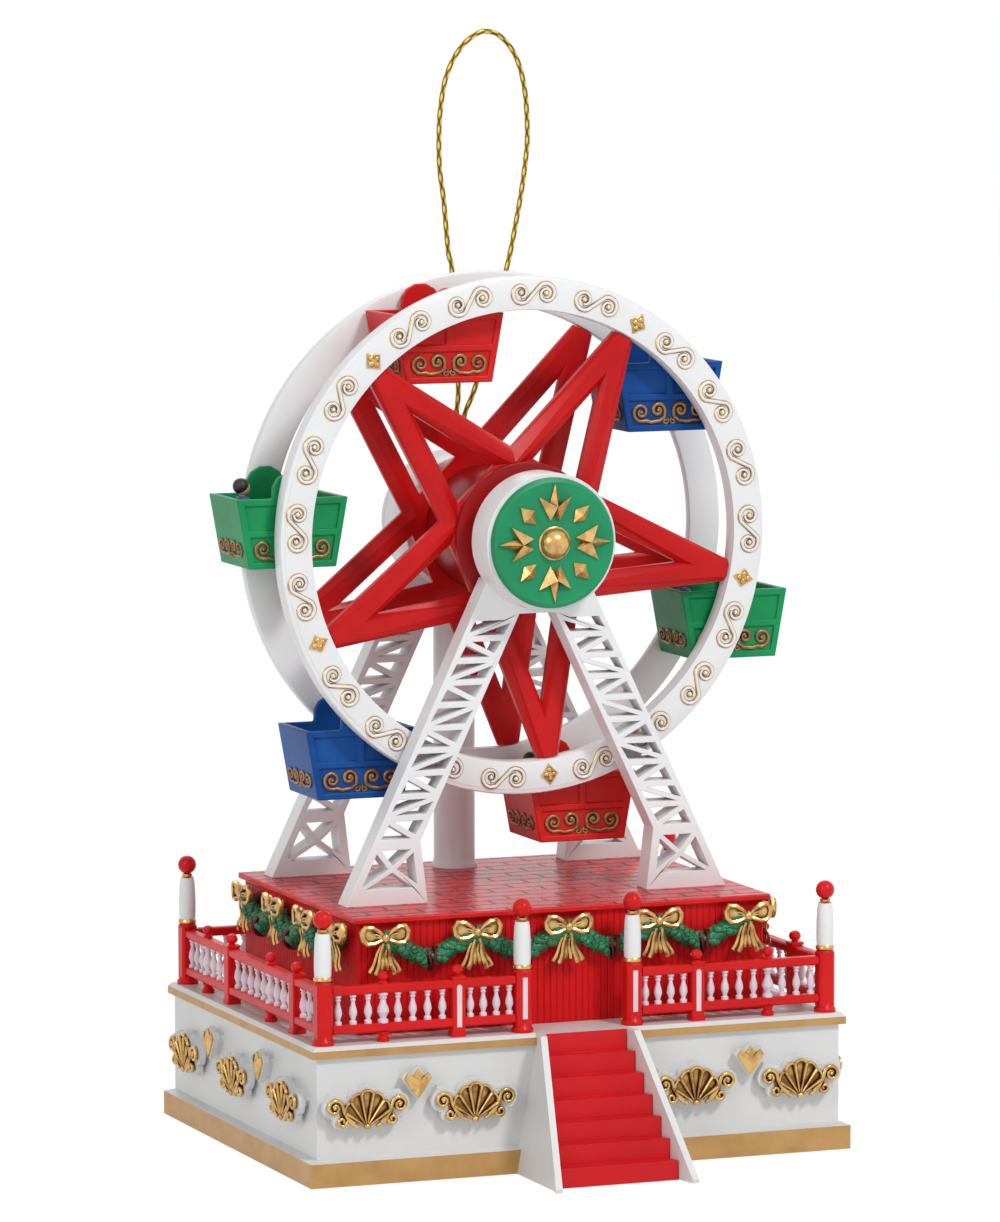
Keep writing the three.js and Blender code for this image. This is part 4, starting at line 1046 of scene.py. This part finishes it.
    def _post(self, node: str, x: float, y: float, striped: bool = False) -> None:
        """Makes a tall post: red foot and shaft, gold collars, white upper shaft, red ball.

        Args:
            node: The CAD node that it stands for.
            x: Where it stands across.
            y: Where it stands along.
            striped: Whether its shaft has pale panels.
        """
        bm = bmesh.new()
        place = Matrix.Translation((x, y, self.top))
        r = 1.3
        prism(bm, bar(r, -r, r, 0.38), 1.0, 9.6, place)
        for index, profile in (
            (0, [(0, 0), (1.75, 0), (1.78, 0.5), (1.5, 0.9), (1.3, 1.5), (0, 1.5)]),
            (0, [(0, 9.4), (1.45, 9.4), (1.5, 9.7), (1.3, 10.0), (0, 10.0)]),
            (1, [(0, 10.0), (1.32, 10.0), (1.5, 10.2), (1.5, 10.5), (1.3, 10.8), (0, 10.8)]),
            (2, [(0, 10.8), (1.3, 10.8), (1.38, 12.0), (1.36, 14.5), (1.24, 16.8), (1.12, 17.3),
                 (1.1, 17.6), (0, 17.6)]),
            (1, [(0, 17.6), (1.1, 17.6), (0.8, 17.85), (0.85, 18.2), (0, 18.3)]),
        ):
            lathe(bm, profile, 24, place, index)
        ball(bm, (x, y, self.top + 19.7), (1.5, 1.5, 1.5), 0, 14, 24)
        for s in SIDES if striped else ():
            edge = [(-0.4, 2.2), (0.4, 2.2), (0.4, 8.8), (-0.4, 8.8)]
            prism(bm, edge, -0.1, 0.08, place @ facing((0, s * r, 0), (0, s, 0)), 3)
        piece(f"{node}_turned", to_mesh(f"{node}_turned", bm, [RED, GOLD, WHITE, BLUSH]), "base",
              [node])


@dataclass
class DeckHouse:
    """The boarded red house, its shingled deck, and its bows and garlands."""

    repeat: Repeater
    half: float = 34.7
    front: float = -17.6
    bow_z: float = 37.6
    front_pitch: float = 15.5
    side_pitch: float = 14.6
    side_middle: float = 9.0
    sag: float = 3.9
    seat: float = 1.25

    def build(self) -> None:
        """Makes the house, the deck, the garlands and the bows."""
        softened("deck_house", "base", [BOARD_RED], 0.2)
        softened("deck_floor", "base", [RED, DECK_RED], 0.22,
                 lambda middle, normal: int(normal.z > 0.5))
        bow = self._bow()
        for word, at, out, count, pitch in (
            ("front", (0, self.front), (0, -1, 0), 5, self.front_pitch),
            ("left", (-self.half, self.side_middle), (-1, 0, 0), 4, self.side_pitch),
            ("right", (self.half, self.side_middle), (1, 0, 0), 4, self.side_pitch),
        ):
            place = facing((*at, self.bow_z), out)
            spots = [(i - (count - 1) / 2) * pitch for i in range(count)]
            bm = bmesh.new()
            for start in spots[:-1]:
                self._swag(bm, place, start, pitch)
            piece(f"garland_{word}_swags", to_mesh(f"swags_{word}", bm, [LEAF, WINE], 60), "base",
                  [f"garland_{word}"])
            self.repeat.spread(f"bows_{word}", bow, GOLD,
                               [place @ Matrix.Translation((spot, 0, 1.5)) for spot in spots],
                               "gold_paint")

    def _swag(self, bm: Shape, place: Matrix, start: float, pitch: float) -> None:
        """Adds one green swag of leafy lumps, with a dark red ribbon at its low point.

        Args:
            bm: The shape that it joins.
            place: The middle of the garland on its wall.
            start: Where the swag starts along the wall.
            pitch: The distance between two bows.
        """
        steps = 34

        def drop(t: float) -> float:
            """Returns how far the swag hangs at a share of its length."""
            return -self.sag * (1.06 - math.sqrt((2 * t - 1) ** 2 + 0.0036))

        middle = [place @ Vector((start + pitch * k / steps, drop(k / steps), self.seat))
                  for k in range(steps + 1)]
        wall = place.to_3x3()
        sweep(bm, middle, lambda t: 1.28 + 0.1 * math.sin(t * 61), 14, 0, 1.0,
              wall @ Vector((0, 0, 1)))
        across = wall @ Vector((1, 0, 0))
        for k in range(1, steps):
            for j in range(3):
                turn = 2.4 * k + math.tau * j / 3
                side = wall @ Vector((0, math.cos(turn), math.sin(turn)))
                spot = middle[k] + side * 1.12 + across * 0.2 * math.sin(5.1 * k + j)
                size = 0.58 + 0.14 * math.sin(3.3 * k + 1.7 * j)
                ball(bm, spot, (size * 1.25, size, size), 0, 6, 10)
        for s in SIDES:
            ribbon = []
            for c, e in (*circle(24), (1.0, 0.0)):
                t = 0.5 + s * 0.025 * (1 + c)
                ribbon.append(place @ Vector((start + pitch * t, drop(t) + 1.6 * c,
                                              self.seat + 1.6 * e)))
            sweep(bm, ribbon, lambda t: 0.28, 8, 1, 0.8, across)

    @staticmethod
    def _bow() -> bpy.types.Mesh:
        """Returns a gold bow: two hollow loops, a knot and folded tails.

        Returns:
            The mesh of one copy.
        """
        bm = bmesh.new()
        for s in SIDES:
            rim = [(0.3, 0.25), (1.1, 1.1), (2.2, 1.75), (3.3, 1.8), (3.85, 1.0), (3.7, -0.1),
                   (3.0, -0.8), (1.9, -0.75), (0.9, -0.35), (0.3, -0.2)]
            prism(bm, [(s * x, y) for x, y in rim], 0.0, 0.7, crown=0.45)
            sweep(bm, [(s * x, y, 0.75 + 0.25 * math.sin(x)) for x, y in rim],
                  lambda t: 0.3 + 0.18 * math.sin(math.pi * t), 8, 0, 1.3, (0, 0, 1))
            for y, reach in ((0.15, 2.3), (0.55, 3.0)):
                sweep(bm, [(s * 0.5, y * 0.4, 0.9), (s * reach / 2, y * 1.2, 1.0),
                           (s * reach, y * 1.6, 0.75)], lambda t: 0.34 - 0.2 * t, 6,
                      up=(0, 0, 1))
            for lean, reach, width, lift in ((0.44, 5.1, 0.40, 0.50), (0.25, 5.4, 0.40, 0.80),
                                             (0.07, 4.7, 0.36, 0.60)):
                strip = [(s * (0.15 + lean * reach * t + 0.12 * math.sin(7 * t)),
                          -0.3 - reach * t, lift + 0.22 * math.sin(9 * t))
                         for t in (k / 7 for k in range(8))]
                sweep(bm, strip, lambda t, w=width: w * (0.45 + 0.55 * t), 4, 0, 0.55,
                      (0, 0, 1))
        ball(bm, (0, 0, 0.95), (0.72, 0.8, 0.6))
        sweep(bm, [(0, 0.8, 0.9), (0.05, 0, 1.55), (0, -0.8, 0.9)], lambda t: 0.14, 6)
        return to_mesh("bow", bm, [GOLD], 40)


def turned(
    name: str, profile: Sequence[Point], finish: Finish, body: str,
    replaces: Sequence[str] = (), sides: int = 96, place: Optional[Matrix] = None,
) -> None:
    """Makes a piece turned round the wheel's axis, or round another place.

    Args:
        name: Its name.
        profile: Radius and depth pairs, closed when it is a ring.
        finish: Its finish.
        body: The body that carries it.
        replaces: The CAD nodes that it stands for.
        sides: How many steps go round.
        place: Where it stands, the axis of the wheel if left out.
    """
    bm = bmesh.new()
    lathe(bm, profile, sides, place or Matrix.Translation((0, 0, AXIS_Z)) @ TO_BACK)
    bmesh.ops.remove_doubles(bm, verts=bm.verts, dist=1e-4)
    piece(name, to_mesh(name, bm, [finish]), body, replaces)


def ring(inner: float, outer: float, front: float, back: float, edge: float) -> list[Point]:
    """Returns the closed profile of a flat ring with rounded edges.

    Args:
        inner: Its inner radius.
        outer: Its outer radius.
        front: The depth of its front face.
        back: The depth of its back face.
        edge: The radius of its edges.

    Returns:
        Radius and depth pairs, the last the same as the first.
    """
    e, h = edge, edge * 0.3
    return [
        (inner, front + e), (inner + h, front + h), (inner + e, front),
        (outer - e, front), (outer - h, front + h), (outer, front + e),
        (outer, back - e), (outer - h, back - h), (outer - e, back),
        (inner + e, back), (inner + h, back - h), (inner, back - e), (inner, front + e),
    ]


@dataclass
class Towers:
    """The two lattice towers, their heads and the green cap."""

    head: float = 11.0
    head_front: float = -12.8
    head_back: float = -6.3
    column_y: float = 30.2
    cap: float = 10.4
    cap_front: float = -14.1
    cap_back: float = -12.9
    crown_root: float = 3.6
    crown_tip: float = 9.5
    crown_half: float = 2.75
    kite_root: float = 4.5
    kite_tip: float = 8.3
    kite_half: float = 1.25
    boss: float = 2.4

    def build(self) -> None:
        """Makes the towers, the column and the cap."""
        body, slot = "base", "white_plastic"
        for tower in ("front_tower", "rear_tower"):
            softened(tower, body, [WHITE], 0.16)
        r, y = self.head + 0.04, self.head_front
        column = Matrix.Translation((0, self.column_y, 0))
        for name, profile, replaces, sides, place in (
            ("front_head", [(0, y - 0.03), (r - 0.5, y - 0.03), (r - 0.15, y + 0.12), (r, y + 0.5),
                            (r, self.head_back), (1.7, self.head_back)], [], 96, None),
            ("rear_head", ring(9.9, 11.24, 23.4, 33.0, 0.2), [], 96, None),
            ("rear_lid", [(0, 33.1), (11.2, 33.1), (11.2, 34.0), (11.0, 34.35), (10.7, 34.5),
                          (0, 34.5)], ["rear_cover"], 96, None),
            ("column", [(1.7, 40.7), (3.78, 40.7), (3.74, 41.1), (3.55, 41.5), (3.4, 42.0),
                        (3.4, 85.6), (1.7, 85.6), (1.7, 40.7)], ["drive_column"], 48, column),
        ):
            turned(name, profile, WHITE, body, replaces, sides, place)
        self._cap()

    def _cap(self) -> None:
        """Makes the green cap with its four gold crowns, four kites and domed boss."""
        r, y, e = self.cap, self.cap_front, 0.7
        turned("cap", [(0, self.cap_back), (r, self.cap_back), (r, y + e), (r - 0.2, y + 0.2),
                       (r - e, y), (r - 1.1, y + 0.12), (0, y + 0.12)],
               GREEN, "base", ["front_cap"])
        bm = bmesh.new()
        face = facing((0, self.cap_front + 0.12, AXIS_Z), (0, -1, 0))
        span = self.crown_tip - self.crown_root
        half = [(0.0, 0.18), (0.3, 0.0), (0.52, 0.2), (1.0, 0.64), (0.32, 0.48)]
        shape = half[1:] + [(0, 1.0)] + [(-u, v) for u, v in reversed(half[1:])] + [half[0]]
        crown = [(u * self.crown_half, self.crown_root + v * span) for u, v in shape]
        spread = self.kite_tip - self.kite_root
        middle = self.kite_root + 0.45 * spread
        kite = [(0, self.kite_root), (self.kite_half, middle), (0, self.kite_tip),
                (-self.kite_half, middle)]
        for k in range(8):
            turn = face @ Matrix.Rotation(math.radians(45 * k), 4, "Z")
            if k % 2:
                prism(bm, kite, -0.2, 0.35, turn, 0, 0.9)
            else:
                prism(bm, crown, -0.2, 0.4, turn, 0, 1.2)
        b = self.boss
        dome = [(0, -0.1), (b + 0.25, -0.1), (b + 0.3, 0.15), (b + 0.05, 0.3)]
        dome += [(b * math.cos(t), 0.3 + 1.9 * math.sin(t))
                 for t in (math.pi / 2 * k / 8 for k in range(1, 8))]
        lathe(bm, dome + [(0, 2.2)], 40, face)
        piece("cap_gold", to_mesh("cap_gold", bm, [GOLD], 30), "base")


@dataclass
class Wheel:
    """The two rims, the two stars, the hub and the gold scrolls."""

    repeat: Repeater
    inner: float = 36.2
    outer: float = 41.6
    front: float = -1.6
    front_back: float = 1.7
    rear: float = 16.3
    rear_back: float = 18.3
    points: int = 5
    trim_turn: float = 60.0
    scroll_shares: tuple[float, ...] = (0.163, 0.388, 0.612, 0.837)
    scroll_at: float = 38.9
    diamond_at: float = 38.7

    def build(self) -> None:
        """Makes everything that turns with the wheel."""
        body, white, red = "wheel", "white_plastic", "red_plastic"
        for name, profile, replaces in (
            ("front_ring", ring(self.inner, self.outer, self.front, self.front_back, 0.55),
             ["front_rim"]),
            ("front_step", ring(self.inner + 0.1, self.outer - 0.75, self.front - 0.12,
                                self.front + 0.4, 0.1), []),
            ("rear_ring", ring(self.inner, self.outer, self.rear, self.rear_back, 0.45),
             ["rear_rim"]),
        ):
            turned(name, profile, WHITE, body, replaces, 200)
        for star in ("front_star", "rear_star"):
            softened(star, body, [WHEEL_RED], 0.16, sharp=12.0)
        for word, outer, front, back, edge in (("flange", 12.0, -2.2, -1.2, 0.25),
                                               ("drum", 10.2, 1.7, 16.3, 0.15),
                                               ("collar", 10.3, 17.9, 21.9, 0.25)):
            turned(word, ring(1.7, outer, front, back, edge), DRUM_RED, body,
                   [f"hub_{word}"])
        turned("axle", [(0, -9.4), (1.5, -9.4), (1.5, 28.3), (0, 28.3)], STEEL, body,
               ["wheel_axle"], 32)
        softened("axle_gear", body, [BRASS], 0.08)
        self._gold()

    def _gold(self) -> None:
        """Sets the gold scrolls and diamonds round the front rim."""
        step = 360 / self.points
        face = self.front - 0.12
        scrolls, diamonds = [], []
        for k in range(self.points):
            turn = self.trim_turn + k * step
            diamonds.append(self._spot(turn, self.diamond_at, face))
            scrolls += [self._spot(turn + step * share, self.scroll_at, face)
                        for share in self.scroll_shares]
        self.repeat.spread("rim_scrolls", self._scroll(0.0, 0.3, GOLD), GOLD, scrolls, "gold_paint",
                           "wheel", 1.4)
        self.repeat.spread("rim_scroll_tops", self._scroll(0.16, 0.17, WHITE), WHITE, scrolls,
                           "white_plastic", "wheel", 1.4)
        bm = bmesh.new()
        outline = [(-1.15, 0), (-0.45, -0.75), (0, -1.35), (0.45, -0.75), (1.15, 0), (0.45, 0.75),
                   (0, 1.35), (-0.45, 0.75)]
        prism(bm, outline, -0.1, 0.18, crown=0.35)
        for u, v in ((0.45, 0), (-0.45, 0), (0, 0.55), (0, -0.55)):
            ball(bm, (u, v, 0.25), (0.38, 0.38, 0.25), 0, 6, 10)
        self.repeat.spread("rim_diamonds", to_mesh("diamond", bm, [GOLD], 50), GOLD, diamonds,
                           "gold_paint", "wheel", 1.3)

    @staticmethod
    def _spot(turn: float, radius: float, depth: float) -> Matrix:
        """Returns a place on the rim, with local Y pointing away from the axis.

        Args:
            turn: Its angle round the axis, in degrees.
            radius: Its distance from the axis.
            depth: How far back it stands.

        Returns:
            The place.
        """
        a = math.radians(turn)
        out = (math.cos(a), 0, math.sin(a))
        return facing((radius * out[0], depth, AXIS_Z + radius * out[2]), (0, -1, 0), out)

    @staticmethod
    def _scroll(lift: float, radius: float, finish: Finish) -> bpy.types.Mesh:
        """Returns one scroll in the shape of a lying S.

        Args:
            lift: How far its middle line stands over the rim.
            radius: Its thickest radius.
            finish: Its finish.

        Returns:
            The mesh of one copy.
        """
        bm = bmesh.new()
        left = spiral((-1.55, 0.0), -56, -1.08, 1.2, 0.5, 30)
        right = [(-u, -v) for u, v in reversed(left)]
        bend = [(u * share, v * share) for u, v, share in (
            (*right[-1], 0.5), (0, 0, 1), (*left[0], 0.5))]
        path = [(u, v, lift) for u, v in right + bend + left]
        sweep(bm, path, lambda t: radius * (0.7 + 0.3 * math.sin(math.pi * t)), 8, flat=0.75,
              up=(0, 0, 1))
        for s in SIDES:
            ball(bm, (s * 1.55, 0.05, lift), (radius * 1.3, radius * 1.3, radius), 0, 8, 12)
        return to_mesh("scroll", bm, [finish], 60)


@dataclass
class Gondolas:
    """The six hanging gondolas, their gold scrolls and the three dolls."""

    pivot: float = 39.1
    first: float = 107.0
    front: float = 2.2
    depth: float = 13.6
    rim_half: float = 9.35
    floor_half: float = 7.35
    top: float = -1.7
    height: float = 11.1
    panel: float = 0.4
    scroll_share: float = 0.735
    wall_scroll: float = 1.07
    end_scroll: float = 0.86
    seat: float = -7.2
    from_middle: float = 6.1
    ridden: tuple[int, ...] = (3, 4, 6)

    def build(self) -> None:
        """Makes the gondolas one by one."""
        paints = [
            (TUB_RED, "red_plastic"), (TUB_BLUE, "blue_plastic"), (TUB_GREEN, "green_plastic"),
        ]
        for k in range(6):
            turn = math.radians(self.first - 60 * k)
            pin = Vector((self.pivot * math.cos(turn), 0, AXIS_Z + self.pivot * math.sin(turn)))
            finish, slot = paints[k % 3]
            body = f"gondola_{k + 1}"
            softened(body, body, [finish], 0.22)
            self._gold(body, pin)
            if k + 1 in self.ridden:
                self._doll(body, f"rider_{k + 1}", pin)

    def _half(self, z: float) -> float:
        """Returns half the width of a tub at a height below its pin."""
        share = (z - self.top) / -self.height
        return self.rim_half + (self.floor_half - self.rim_half) * share

    def _gold(self, body: str, pin: Vector) -> None:
        """Adds the scrolls in the lower panels and on the end walls.

        Args:
            body: The gondola's body.
            pin: The middle of its pin.
        """
        bm = bmesh.new()
        z = self.top - self.height * self.scroll_share
        back = self.front + self.depth
        for y, out in ((self.front + self.panel, -1), (back - self.panel, 1)):
            self._scrollwork(bm, facing(pin + Vector((0, y, z)), (0, out, 0)), self.wall_scroll)
        lean = Vector((self.height, 0, self.floor_half - self.rim_half)).normalized()
        for s in SIDES:
            out = Vector((s * lean.x, 0, lean.z))
            up = Vector((-s * lean.z, 0, lean.x))
            spot = pin + Vector((s * self._half(z), self.front + self.depth / 2, z))
            self._scrollwork(bm, facing(spot, out, up), self.end_scroll)
        piece(f"{body}_gold", to_mesh(f"{body}_gold", bm, [OLD_GOLD], 60), body)

    @staticmethod
    def _scrollwork(bm: Shape, place: Matrix, size: float) -> None:
        """Adds two mirrored pairs of scrolls with small curls between them.

        Args:
            bm: The shape that it joins.
            place: The middle of its panel.
            size: A scale for all of it.
        """

        def stroke(points: Sequence[Point], thick: float, thin: float) -> None:
            """Adds one stroke that narrows to its end.

            Args:
                points: Its middle line, in the panel's own plane.
                thick: Its radius at the start.
                thin: Its radius at the end.
            """
            sweep(bm, [place @ Vector((u * size, v * size, 0.1)) for u, v in points],
                  lambda t: (thick + (thin - thick) * t) * size, 8, 0, 0.9,
                  place.to_3x3() @ Vector((0, 0, 1)))

        for s in SIDES:
            outer = spiral((-4.6, 0.2), -60, -1.5, 1.45, 0.3, 30)
            bend = [(-0.75, -0.6), (-1.6, -1.15), (-3.0, -1.35)]
            hook = list(reversed(spiral((-1.85, 0.45), -15, 1.3, 1.15, 0.25, 24)))
            stroke([(s * u, v) for u, v in hook + bend + outer], 0.34, 0.26)
            curl = spiral((-0.6, -1.25), 60, -1.1, 0.5, 0.15, 14)
            stroke([(s * u, v) for u, v in curl], 0.2, 0.16)
            for u, v in ((-4.6, 0.2), (-1.85, 0.45)):
                ball(bm, place @ Vector((s * u * size, v * size, 0.15)), (0.38, 0.38, 0.38),
                     0, 5, 8)

    def _doll(self, body: str, node: str, pin: Vector) -> None:
        """Makes a plain little doll that sits on the left bench.

        Args:
            body: The gondola's body.
            node: The CAD node it stands for.
            pin: The middle of the gondola's pin.
        """
        bm = bmesh.new()
        lathe(bm, [(0, 0), (1.25, 0), (1.35, 0.6), (1.15, 2.0), (1.25, 3.4), (1.6, 4.6),
                   (1.35, 5.2), (0.7, 5.5), (0, 5.6)], 20, Matrix.Diagonal((0.85, 1.1, 1, 1)))
        lathe(bm, [(0, 5.2), (0.55, 5.2), (0.5, 6.0), (0, 6.0)], 12, HERE, 1)
        ball(bm, (0.08, 0, 6.8), (1.2, 1.12, 1.3), 1, 12, 18)
        ball(bm, (-0.2, 0, 7.1), (1.32, 1.3, 1.3), 2, 12, 18)
        for s in SIDES:
            sweep(bm, [(0, s * 1.5, 4.6), (0.9, s * 1.85, 3.3), (2.2, s * 1.5, 2.7)],
                  lambda t: 0.52 - 0.12 * t, 10)
            ball(bm, (2.45, s * 1.45, 2.7), (0.38, 0.34, 0.32), 1, 6, 10)
            sweep(bm, [(0, s * 0.6, 0.5), (1.3, s * 0.62, 0.55), (2.3, s * 0.6, 0.45)],
                  lambda t: 0.55 - 0.1 * t, 10, 3)
            ball(bm, (1.2, s * 0.42, 6.9), (0.1, 0.13, 0.16), 2, 6, 8)
        bench = Vector((-self.from_middle, self.front + self.depth / 2, self.seat))
        bmesh.ops.translate(bm, vec=pin + bench, verts=bm.verts)
        mesh = to_mesh(f"{node}_doll", bm, [SHIRT, SKIN, HAIR, BLACK], 50)
        piece(f"{node}_doll", mesh, body, [node])


def keep(node: str, finish: Finish) -> None:
    """Gives a CAD piece that stays as it is a finish.

    Args:
        node: The CAD node.
        finish: Its finish.
    """
    obj = bpy.data.objects[node]
    obj.data.materials.clear()
    obj.data.materials.append(finish.material())


@dataclass
class Movement:
    """What the underside shows: the plate, its screws, the winding key and the movement."""

    screw_x: float = 38.0
    screw_y: tuple[float, ...] = (-18.8, 36.4)
    plate_low: float = 7.0

    def build(self) -> None:
        """Makes the underside and what it hides."""
        softened("base_plate", "base", [BLACK], 0.2)
        keep("movement_case", STEEL)
        softened("drive_shaft", "drive_shaft", [STEEL], 0.05)
        softened("winding_key", "winding_key", [BRASS], 0.35)
        bm = bmesh.new()
        for s in SIDES:
            for y in self.screw_y:
                place = Matrix.Translation((s * self.screw_x, y, self.plate_low))
                lathe(bm, [(0, 0.1), (1.7, 0.1), (1.7, -0.2), (1.3, -0.65), (0.5, -0.8),
                           (0, -0.8)], 24, place)
                # The black cross stands in for the slot's recess: painted shade.
                for turn in (0.4, 0.4 + math.pi / 2):
                    prism(bm, [(-1.1, -0.16), (1.1, -0.16), (1.1, 0.16), (-1.1, 0.16)], -0.86,
                          -0.5, place @ Matrix.Rotation(turn, 4, "Z"), 1)
        piece("plate_screws", to_mesh("plate_screws", bm, [STEEL, BLACK], 40), "base")


CORD_ROUTE = (
    (-0.35, 112.9), (-0.2, 116), (0.1, 120), (-0.5, 130), (-1, 139.4), (-1.6, 142.2),
    (-2.4, 150.7), (-3, 154.9), (-3.2, 159.2), (-3, 164.6), (-2.1, 170), (-0.5, 173.7),
    (1.6, 176.3), (4, 177.8), (5.5, 177.9), (7.3, 177.3), (9.5, 175.1), (11, 172), (11.9, 168),
    (12.2, 164.6), (12.3, 160.6), (12, 156.9), (11.3, 152.1), (10.4, 147.3), (9, 140.7),
    (6.1, 130), (3.1, 120), (1.4, 116), (0.6, 112.9),
)


@dataclass
class HangingCord:
    """The gold braided loop that the ornament hangs from, and its knot."""

    y: float = 28.2
    radius: float = 0.42
    knot_z: float = 111.7
    lug_top: float = 110.5
    steps: int = 9
    sides: int = 12
    lay_length: float = 2.6

    def build(self) -> None:
        route = self._smooth([Vector((x, self.y, z)) for x, z in CORD_ROUTE])
        loop = piece("cord_loop", self._tube(route), "base", ["hanging_cord"])
        bm = bmesh.new()
        ball(bm, (0, 0, 0), (0.6, 0.5, 0.65), 0, 10, 14)
        for tilt, lift in ((0.5, 0.1), (-0.6, -0.1), (1.5, 0.0)):
            wrap = [Matrix.Rotation(tilt, 3, "Y") @ Vector((0.56 * c, 0.5 * s, lift))
                    for c, s in (*circle(28), (1.0, 0.0))]
            sweep(bm, wrap, lambda t: 0.34, 10, up=(0.2, 0.9, 0.3))
        for x in (-0.35, 0.6):
            sweep(bm, [(x * 0.6, 0, 0.3), (x * 0.85, 0, 0.7), (x, 0, 1.1)],
                  lambda t: self.radius, 10, up=(0, 1, 0))
        lug = self.lug_top - self.knot_z
        sweep(bm, [(0.1, 0, -0.4), (0, -0.6, -1.0), (0, -0.8, lug - 0.5), (0, -0.5, lug - 1.0)],
              lambda t: self.radius * 0.8, 10, up=(1, 0, 0))
        bmesh.ops.translate(bm, vec=(0, self.y, self.knot_z), verts=bm.verts)
        knot = piece("cord_tie", to_mesh("cord_tie", bm, [CORD_GOLD], 60), "base",
                     ["cord_knot"])

    def _smooth(self, points: Sequence[Vector]) -> list[Vector]:
        """Returns a smooth line through the points.

        Args:
            points: The points that it goes through.

        Returns:
            The line's points.
        """
        line = []
        for i in range(len(points) - 1):
            a, b = points[max(i - 1, 0)], points[i]
            c, d = points[i + 1], points[min(i + 2, len(points) - 1)]
            for k in range(self.steps):
                t = k / self.steps
                line.append(0.5 * ((2 * b) + (c - a) * t + (2 * a - 5 * b + 4 * c - d) * t * t
                                   + (3 * b - a - 3 * c + d) * t ** 3))
        return line + [points[-1]]

    def _tube(self, route: Sequence[Vector]) -> bpy.types.Mesh:
        """Returns the tube with a map that runs along it, for the braid.

        Args:
            route: The points of its middle line.

        Returns:
            The cord's mesh.
        """
        bm = bmesh.new()
        layer = bm.loops.layers.uv.new("along")
        walked, rings = 0.0, []
        for i, point in enumerate(route):
            if i:
                walked += (point - route[i - 1]).length
            ahead = (route[min(i + 1, len(route) - 1)] - route[max(i - 1, 0)]).normalized()
            side = ahead.cross(Vector((0, 1, 0))).normalized()
            rise = side.cross(ahead)
            rings.append((walked / self.lay_length, [
                bm.verts.new(point + self.radius * (side * c + rise * s))
                for c, s in circle(self.sides)]))
        for (low, first), (high, second) in zip(rings, rings[1:]):
            for k in range(self.sides):
                n = (k + 1) % self.sides
                face = bm.faces.new([first[k], first[n], second[n], second[k]])
                left, right = k / self.sides, (k + 1) / self.sides
                corners = ((left, low), (right, low), (right, high), (left, high))
                for loop, corner in zip(face.loops, corners):
                    loop[layer].uv = corner
        bm.faces.new(list(reversed(rings[0][1])))
        bm.faces.new(rings[-1][1])
        return to_mesh("cord_loop", bm, [CORD_GOLD], 60)


def note_size() -> None:
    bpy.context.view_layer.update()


def main() -> None:
    """Loads the frame and dresses it."""
    logging.basicConfig(level=logging.INFO)
    bpy.context.scene.view_settings.view_transform = "Standard"
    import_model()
    note_size()
    Studio().build()
    HangingCord().build()
    repeat = Repeater()
    for part in (Plinth(repeat), Terrace(repeat), DeckHouse(repeat), Towers(), Wheel(repeat),
                 Gondolas(), Movement()):
        part.build()
        log.info("%s done", type(part).__name__)
    note_size()


if __name__ == "__main__":
    main()
